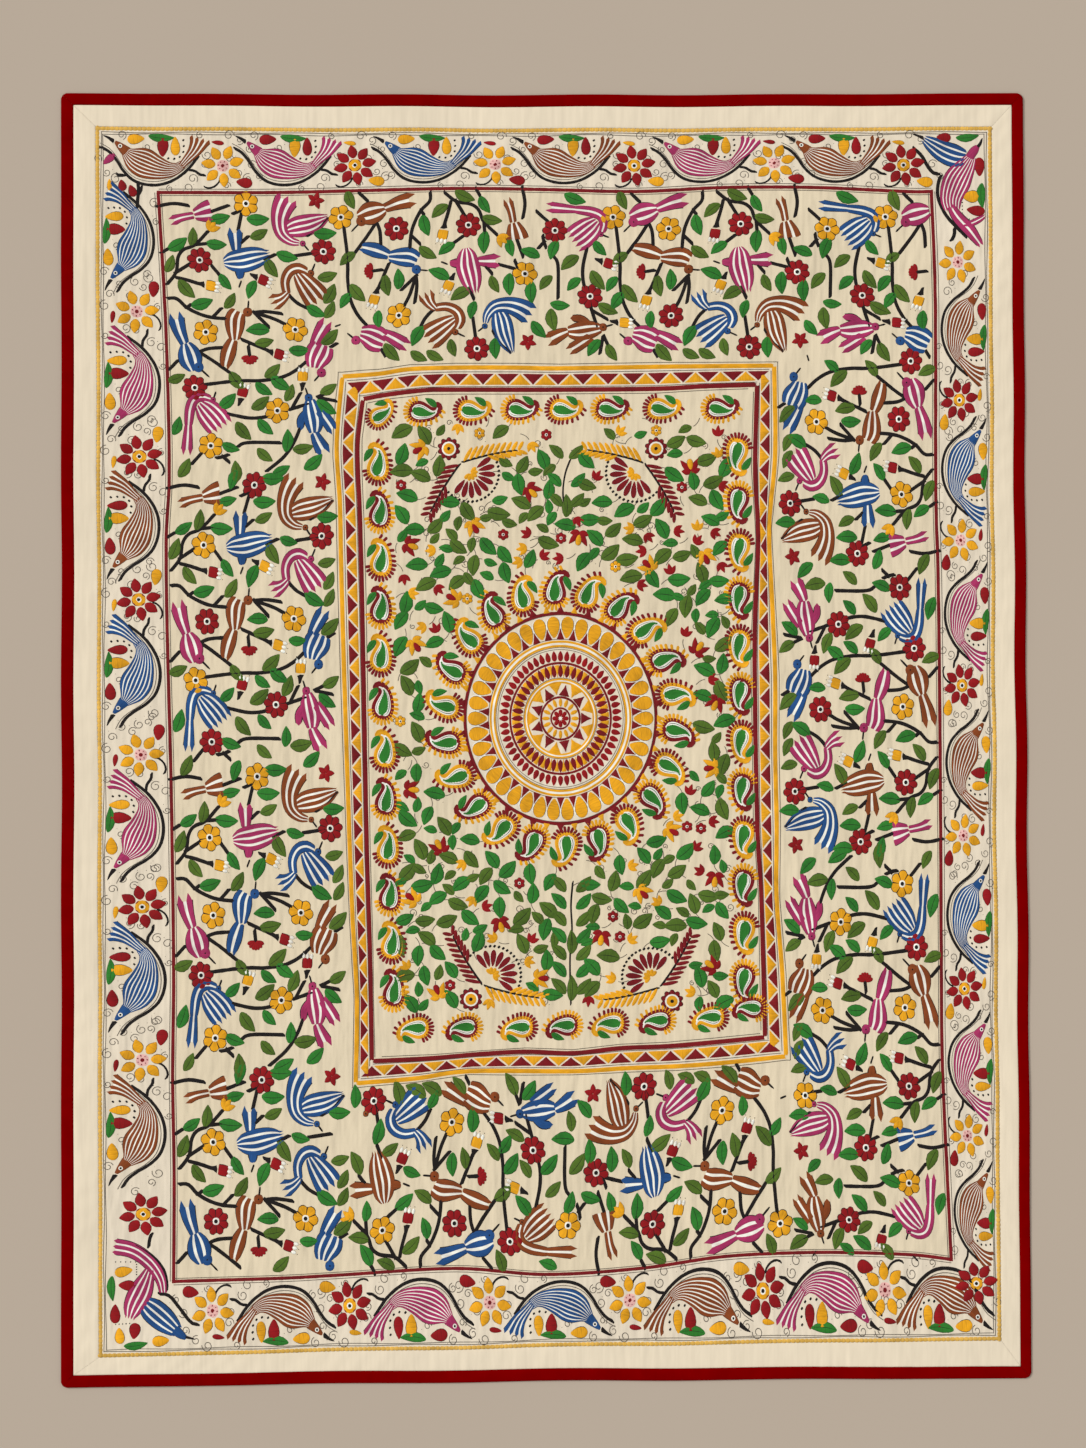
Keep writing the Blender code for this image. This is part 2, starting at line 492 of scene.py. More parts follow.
def ribbon(work, points, bands, rise=STITCH_RISE, step=3.0, fray=0.0, edge=-EDGE_SUNK):
    """A band of stitches along a path whose third column is its half width. Its long edges and ends are drawn
    into the cloth, or stand at a height of their own where it lies on other stitches. A frayed end has its
    coloured stripes run on past the white ones."""
    path = smooth_path(points, step)
    normal = square_to(np.gradient(path[:, :2], axis=0))
    run = normal[:, ::-1] * (1, -1)
    places, heights, threads = across_bands(bands)
    offset = places * path[:, 2:3]
    flat = path[:, None, :2] + normal[:, None] * offset[..., None]
    if fray:
        reach = np.where(heights > 0.9, fray, -0.35 * fray)
        flat[-1] += run[-1] * reach[:, None]
        flat[-2] += run[-2] * 0.4 * reach[:, None]
    lift = np.tile(heights * rise, (len(path), 1))
    lift[:, [0, -1]] = edge
    lift[[0, -1]] = edge
    marks = np.stack(np.broadcast_arrays(reach_along(path)[:, None], offset), axis=-1) * SQUARE
    work.lay(flat, lift, threads, marks + points[0][0] * 0.013)


def lengthened(points, reach):
    """A path run on past both its ends, under the leaves and flowers that it carries."""
    points = np.array(points, float)
    ends = []
    for end, neighbour in ((points[0], points[1]), (points[-1], points[-2])):
        way = end - neighbour
        ends.append(end + way / np.hypot(*way) * reach)
    return np.vstack((ends[0], points[1:-1], ends[1])) if len(points) > 2 else np.array(ends)


def line(work, points, width, thread, rise=STITCH_RISE, step=3.0):
    """A line of stem stitches of one width."""
    ribbon(work, [(*point, width / 2) for point in points], ((thread, 1),), rise, step)


def stripes(thread, count, white=0.55, outline=0.22):
    """The bands of a striped wing or body: coloured stripes with white between, and an inked edge."""
    bands = [("ink", outline)]
    for _ in range(count):
        bands += [(thread, 1.0), ("white", white)]
    return (*bands[:-1], ("ink", outline))


def leaf_profile(t):
    """Pointed at both ends and widest a little before the middle: a half sine, drawn towards the root."""
    return np.sin(np.pi * t ** 0.85) ** 0.85


def drop_profile(t):
    """Pointed at its root and round at its end: nearly the share of the length, times the root of the rest."""
    return 2.6 * t ** 0.9 * np.sqrt(np.clip(1 - t, 0, 1))


def seed_profile(t):
    """Round at both ends: half an ellipse."""
    return 2 * np.sqrt(np.clip(t * (1 - t), 0, 1))


def spike_profile(t):
    """Broad at its root, narrowing to a point along slightly hollow sides: a power of the rest of the length."""
    return (1 - t) ** 1.15


# Where along a petal its rows of points lie, as shares of its length.
PETAL_ROWS = {
    leaf_profile: np.array((0, 0.08, 0.22, 0.42, 0.64, 0.84, 0.95, 1)),
    drop_profile: np.array((0, 0.2, 0.42, 0.62, 0.8, 0.92, 0.985, 1)),
    seed_profile: np.array((0, 0.03, 0.14, 0.36, 0.64, 0.86, 0.97, 1)),
    spike_profile: np.array((0, 0.03, 0.35, 0.7, 0.97, 1)),
}
# The columns of a petal: how far across it they are, how high they stand, and what lies between.
VEINED = ((-1, -0.88, -0.45, -0.04, 0.04, 0.45, 0.88, 1), (0.3, 0.45, 1.0, 0.6, 0.6, 1.0, 0.45, 0.3),
          ("ink", "", "", "ink", "", "", "ink"))
OUTLINED = ((-1, -0.85, 0, 0.85, 1), (0.3, 0.5, 1.0, 0.5, 0.3), ("ink", "", "", "ink"))
PLAIN = ((-1, -0.6, 0, 0.6, 1), (0.3, 0.7, 1.0, 0.7, 0.3), ("", "", "", ""))
WHITE_EDGED = ((-1, -0.84, -0.78, 0, 0.78, 0.84, 1), (0.3, 0.55, 0.6, 1.0, 0.6, 0.55, 0.3),
               ("white", "ink", "", "", "ink", "white"))


def petals(work, roots, angles, lengths, widths, threads, profile=leaf_profile, columns=OUTLINED, bend=0.0,
           rise=STITCH_RISE):
    """Satin-stitched leaves, petals, drops or spikes, all worked out at once. Each runs from its root at its
    angle, as wide at each share of its length as its profile says, and bent by a parabola. The stitches lie
    across it."""
    roots = np.asarray(roots, float)
    count = len(roots)
    angles, lengths, widths, bend = (each(part, count) for part in (angles, lengths, widths, bend))
    t = PETAL_ROWS[profile]
    places, heights, kinds = (np.array(part) for part in columns)
    places, heights = places.astype(float), heights.astype(float)
    half = widths[:, None] / 2 * np.maximum(profile(t), 0.05)
    forward = np.broadcast_to(t * lengths[:, None], half.shape)[..., None]
    sideways = (bend * lengths)[:, None, None] * (4 * t * (1 - t))[:, None] + half[..., None] * places
    forward = np.broadcast_to(forward, sideways.shape)
    cosine, sine = np.cos(angles)[:, None, None], np.sin(angles)[:, None, None]
    flat = np.stack((forward * cosine - sideways * sine, forward * sine + sideways * cosine), axis=-1)
    flat += roots[:, None, None]
    lift = np.broadcast_to(heights * rise, sideways.shape).copy()
    lift[..., [0, -1]] = -EDGE_SUNK
    lift[:, [0, -1]] = -EDGE_SUNK
    own = np.broadcast_to(np.asarray(threads), (count,))[:, None, None]
    faces = np.where(kinds == "", own, kinds)
    marks = np.stack((sideways, forward), axis=-1) * SQUARE + np.arange(count)[:, None, None, None] * 0.037
    work.lay(flat, lift, faces, marks)


def roots_of(middles, angles, lengths):
    """The roots of shapes that are set down by their middles."""
    count = len(middles)
    return np.asarray(middles, float) - unit(each(angles, count)) * each(lengths, count)[:, None] / 2


def leaves(work, middles, angles, lengths, widths, threads):
    """Veined and slightly bent leaves, each set down by its middle."""
    roots = roots_of(middles, angles, lengths)
    petals(work, roots, angles, lengths, widths, threads, leaf_profile, VEINED, bend=0.06)


def drops(work, middles, angles, lengths, widths, threads):
    """Drops, each set down by its middle."""
    petals(work, roots_of(middles, angles, lengths), angles, lengths, widths, threads, drop_profile)


# The grids of a small dot and of a larger one.
SQUARE_GRID = np.stack(np.meshgrid(*[(-1.0, 0.0, 1.0)] * 2), axis=-1)
FINE_GRID = np.stack(np.meshgrid(*[(-1.0, -0.6, 0.0, 0.6, 1.0)] * 2), axis=-1)


def discs(work, middles, radii, thread, rise=STITCH_RISE, grid=SQUARE_GRID, edge=-EDGE_SUNK):
    """Round dots: a square grid pressed into a disc, each coordinate times the root of one less half the
    square of the other. A dot on other stitches has its edge at a height of its own."""
    middles = np.asarray(middles, float)
    x, y = grid[..., 0], grid[..., 1]
    disc = np.stack((x * np.sqrt(1 - y ** 2 / 2), y * np.sqrt(1 - x ** 2 / 2)), axis=-1)
    flat = middles[:, None, None] + each(radii, len(middles))[:, None, None, None] * disc
    lift = np.broadcast_to(np.where(np.maximum(abs(x), abs(y)) < 1, rise, edge), flat.shape[:-1])
    work.lay(flat, lift, thread, flat * SQUARE)


def heap(work, middles, layers):
    """Discs heaped one on another. Columns: radius, thread, crown and edge in mm above the cloth, grid."""
    for radius, thread, crown, edge, grid in layers:
        discs(work, middles, radius, thread, crown * MM, grid, edge * MM)


def strokes(work, starts, ends, width, thread, rise=LINE_RISE):
    """Single straight stitches, each with its crown along its middle."""
    starts, ends = np.asarray(starts, float), np.asarray(ends, float)
    run = ends - starts
    shares = np.array((0.0, 0.15, 0.85, 1.0))[:, None]
    taper = np.array((0.5, 1.0, 1.0, 0.5))[:, None]
    middle = starts[:, None] + shares * run[:, None]
    places = np.array((-1.0, 0.0, 1.0))[:, None]
    flat = middle[:, :, None] + (taper * width / 2)[:, None] * places * square_to(run)[:, None, None]
    lift = np.broadcast_to(np.array((-EDGE_SUNK, rise, -EDGE_SUNK)), flat.shape[:-1])
    work.lay(flat, lift, thread, flat * SQUARE)


def hairlines(work, paths):
    """Fine grey lines of single running stitches. Each path is a row of points of one array."""
    paths = np.asarray(paths, float)
    half = sizes().hairline_width / SQUARE / 2
    sides = np.array((-half, half))[:, None]
    flat = paths[:, :, None] + sides * square_to(np.gradient(paths, axis=1))[:, :, None]
    work.lay(flat, np.full(flat.shape[:-1], HAIRLINE_RISE), "grey", flat * SQUARE)


def curls(work, middles, radii, starts):
    """Hairline curls: spirals that open at a steady rate."""
    middles, radii, starts = (np.asarray(part, float) for part in (middles, radii, starts))
    t = np.linspace(0, 1, 15)
    angle = starts[:, None] + TURN * CURL_TURNS * t
    radius = radii[:, None] * (0.3 + 0.7 * t)
    hairlines(work, middles[:, None] + radius[..., None] * unit(angle))


def rosettes(work, middles, radius, lobes, thread, turn=0.0):
    """Round flowers of joined petals. The rim is a circle pinched between the petals by the root of a sine,
    and a line of ink parts each petal from the next."""
    middles = np.asarray(middles, float)
    in_lobe = np.array((-0.06, 0.06, 0.28, 0.5, 0.72))
    angle = TURN * (np.arange(lobes)[:, None] + in_lobe).ravel() / lobes + turn
    place = np.tile(np.abs(in_lobe), lobes)
    rim = radius * (0.7 + 0.3 * np.sqrt(np.sin(np.pi * place)))
    shares = np.array((0.26, 0.55, 0.92, 1.0))
    radii = shares[:, None] * rim
    flat = middles[:, None, None] + radii[..., None] * unit(angle)
    crown = 0.55 + 0.45 * np.sin(np.pi * place)
    lift = np.array((0.5, 1.0, 0.7, 0.0))[:, None] * crown * STITCH_RISE
    lift[-1] = -EDGE_SUNK
    kinds = np.full((3, len(angle)), thread, dtype="<U8")
    kinds[:, ::5] = "ink"
    kinds[2] = "ink"
    marks = np.stack(np.broadcast_arrays(radii, angle * radius * 0.6), axis=-1) * SQUARE
    work.lay(flat, np.broadcast_to(lift, flat.shape[:-1]), kinds, marks, wrap=True)
    heap(work, middles, ((radius * 0.30, "white", 0.99, -0.25, FINE_GRID),
                         (radius * 0.15, "ink", 1.35, 1.035, SQUARE_GRID)))


# Materials.

def add(material, kind, settings=None, links=None):
    """Adds a shader node of a kind, sets its properties and sockets, and links its inputs from other nodes'
    outputs, the first one where only the node is given."""
    tree = material.node_tree
    node = tree.nodes.new("ShaderNode" + kind)
    for key, value in (settings or {}).items():
        if isinstance(key, str) and hasattr(node, key):
            setattr(node, key, value)
        else:
            node.inputs[key].default_value = value
    for key, source in (links or {}).items():
        tree.links.new(getattr(source, "outputs", [source])[0], node.inputs[key])
    return node


def new_material(name):
    """A material with an empty node tree."""
    material = bpy.data.materials.new(name)
    material.use_nodes = True
    material.node_tree.nodes.clear()
    return material


def finish_material(material, shader):
    """The material, with its shader linked to its output."""
    add(material, "OutputMaterial", None, {"Surface": shader})
    return material


def shade(colour, amount):
    """A colour made lighter or darker by a factor, with its alpha."""
    return (*[min(1.0, channel * amount) for channel in colour], 1.0)


# A strand of the thread is 0.5 mm wide. It is drawn 2.6 mm wide, and as long as a satin stitch, so that it
# shows.
STRAND_WIDTH = 2.6 * MM
STITCH_LENGTH = 14 * MM
DYE_PATCH = 45 * MM


def thread_material(thread):
    """Stranded cotton, worked in satin and stem stitch: matt, its strands lying side by side
    along the stitch, and its dye a little uneven from place to place. Its colour also holds painted shade
    in the grooves between the strands and a painted highlight on their crowns."""
    name = f"stranded cotton, {thread}"
    if name in bpy.data.materials:
        return bpy.data.materials[name]
    colour = getattr(colours(), thread)
    material = new_material(name)
    run = add(material, "TexCoord")
    laid = add(material, "Mapping", {"Scale": (1 / STITCH_LENGTH, 1 / STRAND_WIDTH, 1)},
               {"Vector": run.outputs["UV"]})
    strands = add(material, "TexNoise", {"Scale": 1.0, "Detail": 2.0}, {"Vector": laid})
    dye = add(material, "TexNoise", {"Scale": 1 / DYE_PATCH, "Detail": 1.0},
              {"Vector": run.outputs["Object"]})
    # The colour is mixed by the strands' heights and the dye patches together. It is painted shade where the
    # strands lie low and a painted highlight where they stand high, over real uneven dye.
    both = add(material, "Math", {"operation": "ADD"}, {0: strands, 1: dye})
    spread = add(material, "MapRange", {"From Min": 0.65, "From Max": 1.35}, {"Value": both})
    mix = add(material, "Mix", {"data_type": "RGBA", 6: shade(colour, 0.70), 7: shade(colour, 1.28)},
              {"Factor": spread})
    rough = add(material, "MapRange", {"To Min": 0.62, "To Max": 0.86}, {"Value": strands})
    bump = add(material, "Bump", {"Strength": 0.35, "Distance": 0.4 * MM}, {"Height": strands})
    shader = add(material, "BsdfPrincipled", {"Specular IOR Level": 0.2},
                 {"Base Color": mix.outputs[2], "Roughness": rough, "Normal": bump})
    return finish_material(material, shader)


# The cotton's yarns are 0.6 mm apart. The weave is drawn 2.4 mm apart so that it shows.
# A wave texture at a scale of one has its bands WAVE_BAND apart, in metres.
WEAVE_SPACING = 2.4 * MM
WAVE_BAND = 0.314
SLUB_WIDTH = 7 * MM
SLUB_LENGTH = 160 * MM
CREASE_WIDTH = 22 * MM
CREASE_LENGTH = 75 * MM


def cloth_colour(material, coordinates, colour):
    """Cream cotton's unevenness: long slubs that lie along the warp, over broad faint patches."""
    slubs_run = add(material, "Mapping", {"Scale": (1 / SLUB_WIDTH, 1 / SLUB_LENGTH, 1)},
                    {"Vector": coordinates})
    slubs = add(material, "TexNoise", {"Scale": 1.0, "Detail": 3.0}, {"Vector": slubs_run})
    patches = add(material, "TexNoise", {"Scale": 6.0, "Detail": 2.0}, {"Vector": coordinates})
    both = add(material, "Math", {"operation": "ADD"}, {0: slubs, 1: patches})
    spread = add(material, "MapRange", {"From Min": 0.7, "From Max": 1.3}, {"Value": both})
    mix = add(material, "Mix", {"data_type": "RGBA", 6: shade(colour, 0.94), 7: shade(colour, 1.05)},
              {"Factor": spread})
    return mix.outputs[2]


def crease_bump(material, coordinates, depth):
    """The soft creases that quilting draws up: long along the warp, two to three centimetres apart."""
    run = add(material, "Mapping", {"Scale": (1 / CREASE_WIDTH, 1 / CREASE_LENGTH, 1)},
              {"Vector": coordinates})
    creases = add(material, "TexNoise", {"Scale": 1.0, "Detail": 1.5}, {"Vector": run})
    return add(material, "Bump", {"Strength": 1.0, "Distance": depth}, {"Height": creases})


def weave_bump(material, coordinates, strength, under):
    """A plain weave over the creases: the crowns of warp and weft as the product of two sines, broken up by a
    fine noise."""
    size = {"Scale": WAVE_BAND / WEAVE_SPACING, "Distortion": 1.0, "Detail": 1.0}
    warp, weft = (add(material, "TexWave", {"bands_direction": way, **size}, {"Vector": coordinates})
                  for way in "XY")
    crowns = add(material, "Math", {"operation": "MULTIPLY"}, {0: warp.outputs[1], 1: weft.outputs[1]})
    creases = add(material, "TexNoise", {"Scale": 28.0, "Detail": 4.0}, {"Vector": coordinates})
    both = add(material, "Math", {"operation": "MULTIPLY_ADD", 1: 0.35}, {0: crowns, 2: creases})
    return add(material, "Bump", {"Strength": strength, "Distance": 0.6 * MM},
               {"Height": both, "Normal": under})


def cream_cotton():
    """Plain-woven, washed cotton of the margin: matt and faintly slubbed, with no print."""
    material = new_material("plain-woven cream cotton")
    where = add(material, "TexCoord").outputs["Object"]
    creases = crease_bump(material, where, 2.0 * MM)
    shader = add(material, "BsdfPrincipled", {"Roughness": 0.9, "Specular IOR Level": 0.1},
                 {"Base Color": cloth_colour(material, where, colours().margin),
                  "Normal": weave_bump(material, where, 0.4, creases)})
    return finish_material(material, shader)


def quilted_cotton():
    """The panel's ground: layers of soft cotton held by rows of running stitch. It is whiter in the border
    band, the central frame and the medallion, which are quilted more closely. Those are where the named
    attribute, a distance into the bands, is above nought."""
    material = new_material("quilted cream cotton")
    where = add(material, "TexCoord").outputs["Object"]
    plain = cloth_colour(material, where, colours().field)
    close = cloth_colour(material, where, colours().band)
    edge = add(material, "Attribute", {"attribute_name": "into_bands"})
    inside = add(material, "MapRange", {"From Min": -0.5 * MM, "From Max": 0.5 * MM},
                 {"Value": edge.outputs["Fac"]})
    mix = add(material, "Mix", {"data_type": "RGBA"}, {"Factor": inside, 6: plain, 7: close})
    creases = crease_bump(material, where, 5.5 * MM)
    shader = add(material, "BsdfPrincipled", {"Roughness": 0.92, "Specular IOR Level": 0.1},
                 {"Base Color": mix.outputs[2], "Normal": weave_bump(material, where, 0.6, creases)})
    return finish_material(material, shader)


def cotton_tape():
    """Dark red cotton tape, folded over the edge and sewn down: matt, with a fine rib and worn, lighter
    patches."""
    material = new_material("folded cotton tape")
    where = add(material, "TexCoord").outputs["Object"]
    tape = colours().tape
    patches = add(material, "TexNoise", {"Scale": 30.0, "Detail": 4.0}, {"Vector": where})
    mix = add(material, "Mix", {"data_type": "RGBA", 6: shade(tape, 0.8), 7: shade(tape, 1.2)},
              {"Factor": patches})
    creases = crease_bump(material, where, 1.0 * MM)
    shader = add(material, "BsdfPrincipled", {"Roughness": 0.8, "Specular IOR Level": 0.0},
                 {"Base Color": mix.outputs[2], "Normal": weave_bump(material, where, 0.5, creases)})
    return finish_material(material, shader)


# The sheets of cloth.

def add_cloth(name, points, faces, material):
    """A smooth-shaded sheet of points and faces."""
    mesh = bpy.data.meshes.new(name)
    mesh.from_pydata(points.tolist(), [], faces)
    mesh.materials.append(material)
    mesh.shade_smooth()
    mesh.set_sharp_from_angle(angle=math.radians(60))
    mesh.update()
    sheet = bpy.data.objects.new(name, mesh)
    bpy.context.collection.objects.link(sheet)
    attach(sheet, "root")
    return sheet


def panel_grid(across, up):
    """A patch between the four sides of the margin seam: both pairs of opposite sides blended, less the blend
    of the corners, which would count twice."""
    head = side_points("margin seam", "head", across)
    foot = side_points("margin seam", "foot", 1 - across)
    right = side_points("margin seam", "right", 1 - up)
    left = side_points("margin seam", "left", up)
    head_left, head_right, foot_right, foot_left = np.array(LINES["margin seam"])
    u = across[None, :, None]
    v = up[:, None, None]
    between_ends = (1 - v) * foot[None] + v * head[None]
    between_sides = (1 - u) * left[:, None] + u * right[:, None]
    corners = (1 - v) * ((1 - u) * foot_left + u * foot_right) + v * ((1 - u) * head_left + u * head_right)
    return between_ends + between_sides - corners


def inside_line(line_table, across, down):
    """How far inside a four-sided line the chart's squares lie: the least of the distances to its sides."""
    return np.minimum.reduce((
        across - line_depth(line_table, "left", down), line_depth(line_table, "right", down) - across,
        down - line_depth(line_table, "head", across), line_depth(line_table, "foot", across) - down,
    ))


def medallion_reach(chart):
    """How far the chart's squares lie from the medallion's middle, in its own squares."""
    return np.hypot(*((chart - MEDALLION_MIDDLE) / (1, MEDALLION_STRETCH)).T)


def make_panel():
    """The quilted panel: a gridded face with the waves and puckers, upright sides and one flat underside."""
    step = sizes().ground_step
    width, length = side_length("margin seam", "head"), side_length("margin seam", "left")
    columns, rows = round(width / step), round(length / step)
    across = np.linspace(SEAM_GAP / 2 / width, 1 - SEAM_GAP / 2 / width, columns + 1)
    up = np.linspace(SEAM_GAP / 2 / length, 1 - SEAM_GAP / 2 / length, rows + 1)
    flat = panel_grid(across, up)
    lift = cloth_top(flat[..., 0], flat[..., 1])
    lift[[0, -1]] -= SEAM_DIP
    lift[:, [0, -1]] -= SEAM_DIP
    top = np.concatenate((flat, lift[..., None]), axis=2).reshape(-1, 3)
    index = np.arange(len(top)).reshape(rows + 1, columns + 1)
    faces = np.stack((index[:-1, :-1], index[:-1, 1:], index[1:, 1:], index[1:, :-1]), axis=2).reshape(-1, 4)
    rim = np.concatenate((index[0, :-1], index[:-1, -1], index[-1, :0:-1], index[:0:-1, 0]))
    base = top[rim] * (1, 1, 0)
    under = np.arange(len(rim)) + len(top)
    walls = np.stack((under, np.roll(under, -1), np.roll(rim, -1), rim), axis=1)
    points = np.concatenate((top, base))
    sheet = add_cloth("quilted_panel", points, [*faces.tolist(), *walls.tolist(), under[::-1].tolist()],
                      quilted_cotton())
    chart = chart_of(points[:, :2])
    outside_field = -inside_line(RED_LINE, *chart.T)
    in_frame = np.minimum(inside_line(GOLD_FRAME, *chart.T), -inside_line(INNER_FRAME, *chart.T))
    in_medallion = MEDALLION_RADIUS - medallion_reach(chart)
    into_bands = np.maximum.reduce((outside_field, in_frame, in_medallion)) * SQUARE
    sheet.data.attributes.new("into_bands", "FLOAT", "POINT").data.foreach_set("value", into_bands)
    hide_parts("quilt_panel")
    return sheet


def round_corners(points):
    """Presses the square corners of the outer edge round: a square at each corner becomes a quarter of a
    disc."""
    corners = np.array(LINES["outer edge"])
    rounded = points.copy()
    for number, corner in enumerate(corners):
        ways = np.stack((corners[number - 3] - corner, corners[number - 1] - corner))
        ways /= np.linalg.norm(ways, axis=1)[:, None]
        reach = (rounded[:, :2] - corner) @ np.linalg.inv(ways)
        u, v = (1 - reach / CORNER_ROUNDING).T
        near = (u > 0) & (v > 0)
        u, v = np.clip(u[near], 0, 1), np.clip(v[near], 0, 1)
        pressed = np.stack((u * np.sqrt(1 - v ** 2 / 2), v * np.sqrt(1 - u ** 2 / 2)), axis=1)
        rounded[near, :2] = corner + (CORNER_ROUNDING * (1 - pressed)) @ ways
    return rounded


def make_strip(name, side, outer, inner, height, section, ripple, material):
    """Carries a section along one side between two lines, with its ends on the diagonals of the mitres. Short
    ripples run across it, where its stitching draws it up."""
    length = side_length(outer, side)
    steps = round(length / sizes().ground_step)
    gap = SEAM_GAP / math.sqrt(2) / length
    along = np.linspace(gap, 1 - gap, steps + 1)
    outside = side_points(outer, side, along)
    inside = side_points(inner, side, along)
    width = np.linalg.norm(outside[steps // 2] - inside[steps // 2])
    seam = SEAM_GAP / 2 / width
    first_place = 0 if outer == "outer edge" else seam
    place, share = np.array(section).T
    across = first_place + place * (1 - seam - first_place)
    flat = outside[:, None] + across[:, None] * (inside - outside)[:, None]
    metres = along * length
    drawn = np.sin(TURN * metres / RIPPLE_LENGTH + 1.7 * np.sin(TURN * metres / 0.31) + SIDES[side][0])
    drawn = drawn[:, None] * ripple * np.sin(np.pi * np.clip(place, 0, 1)) ** 0.5
    rise = height + face_wave(flat[..., 0], flat[..., 1]) + drawn
    lift = share * rise
    lift[[0, -1]] -= np.minimum(MITRE_DIP, lift[[0, -1]])
    points = np.concatenate((flat, lift[..., None]), axis=-1).reshape(-1, 3)
    if outer == "outer edge":
        points = round_corners(points)
    around = len(section)
    index = np.arange(len(points)).reshape(steps + 1, around)
    beside = np.roll(index, -1, axis=1)
    faces = np.stack((index[:-1], beside[:-1], beside[1:], index[1:]), axis=2).reshape(-1, 4)
    ends = [index[0, ::-1].tolist(), index[-1].tolist()]
    sheet = add_cloth(name, points, [*faces[:, ::-1].tolist(), *[end[::-1] for end in ends]], material)
    return sheet, (length, width)


# The stage: the floor's reach and level, the lights, and the camera. The picture's long side covers
# PICTURE_LENGTH of the cloth's plane.
FLOOR_REACH = 30.0
FLOOR_LEVEL = -0.4 * MM
SKY_STRENGTH = 0.62
SUN_STRENGTH = 2.1
SUN_SPREAD = math.radians(18)
SUN_TILT = (math.radians(-24), math.radians(-50), 0)
PICTURE_LENGTH = 2.698
CAMERA_PLACE = (-0.006, 0.0307)
SENSOR_WIDTH = 36


class BEDSPREAD_OT_stage(bpy.types.Operator):
    """Sets down the pale floor, the soft lights and the camera that looks straight down"""

    bl_idname = "bedspread.stage"
    bl_label = "Stage"

    def execute(self, context):
        floor = bpy.data.meshes.new("floor")
        square = ((-1, -1), (1, -1), (1, 1), (-1, 1))
        corners = [(x * FLOOR_REACH, y * FLOOR_REACH, FLOOR_LEVEL) for x, y in square]
        floor.from_pydata(corners, [], [(0, 1, 2, 3)])
        paint = new_material("matt floor paint")
        where = add(paint, "TexCoord").outputs["Object"]
        cloudy = add(paint, "TexNoise", {"Scale": 0.8, "Detail": 2.0}, {"Vector": where})
        mix = add(paint, "Mix", {"data_type": "RGBA", 6: shade(linear("#B5A695"), 1),
                                           7: shade(linear("#B9AB9B"), 1)}, {"Factor": cloudy})
        shader = add(paint, "BsdfPrincipled", {"Roughness": 1.0, "Specular IOR Level": 0.0},
                     {"Base Color": mix.outputs[2]})
        floor.materials.append(finish_material(paint, shader))
        ground = bpy.data.objects.new("floor", floor)
        context.collection.objects.link(ground)
        self.add_lights(context)
        self.add_camera(context)
        return {"FINISHED"}

    def add_lights(self, context):
        """An even white sky, and a broad low sun from the upper left."""
        world = bpy.data.worlds.new("studio")
        world.use_nodes = True
        background = world.node_tree.nodes["Background"]
        background.inputs["Color"].default_value = (1, 1, 1, 1)
        background.inputs["Strength"].default_value = SKY_STRENGTH
        context.scene.world = world
        sun = bpy.data.lights.new("broad sun", "SUN")
        sun.energy = SUN_STRENGTH
        sun.angle = SUN_SPREAD
        lamp = bpy.data.objects.new("broad sun", sun)
        lamp.rotation_euler = SUN_TILT
        context.collection.objects.link(lamp)
        context.scene.view_settings.view_transform = "Standard"

    def add_camera(self, context):
        """The view straight down."""
        lens = bpy.data.cameras.new("camera")
        lens.sensor_width = SENSOR_WIDTH
        lens.lens = SENSOR_WIDTH * sizes().camera_height / PICTURE_LENGTH
        camera = bpy.data.objects.new("camera", lens)
        camera.location = (*CAMERA_PLACE, sizes().camera_height)
        context.collection.objects.link(camera)
        context.scene.camera = camera


class BEDSPREAD_OT_binding_and_margin(bpy.types.Operator):
    """Lays the dark red binding and the plain cream margin inside it, each of four mitred strips"""

    bl_idname = "bedspread.binding_and_margin"
    bl_label = "Binding and margin"

    def execute(self, context):
        cream, tape = cream_cotton(), cotton_tape()
        kinds = (
            ("margin", "binding seam", "margin seam", MARGIN_HEIGHT, MARGIN_SECTION, 0.42 * MM, cream,
             "cream_cotton"),
            ("binding", "outer edge", "binding seam", BINDING_HEIGHT, BINDING_SECTION, 0.16 * MM, tape,
             "dark_red_tape"),
        )
        for kind, outer, inner, height, section, ripple, material, slot in kinds:
            for side in SIDES:
                sheet, flat = make_strip(f"{kind}_strip_{side}", side, outer, inner, height, section, ripple,
                                         material)
                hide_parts(f"{kind}_{side}")
        return {"FINISHED"}


# In squares: how far in from the margin seam the chain and the hairlines beside it lie.
CHAIN_INSET = 1.7
CHAIN_HAIRLINES = (5.2, 7.0)
RED_LINE_WIDTH = 4.4


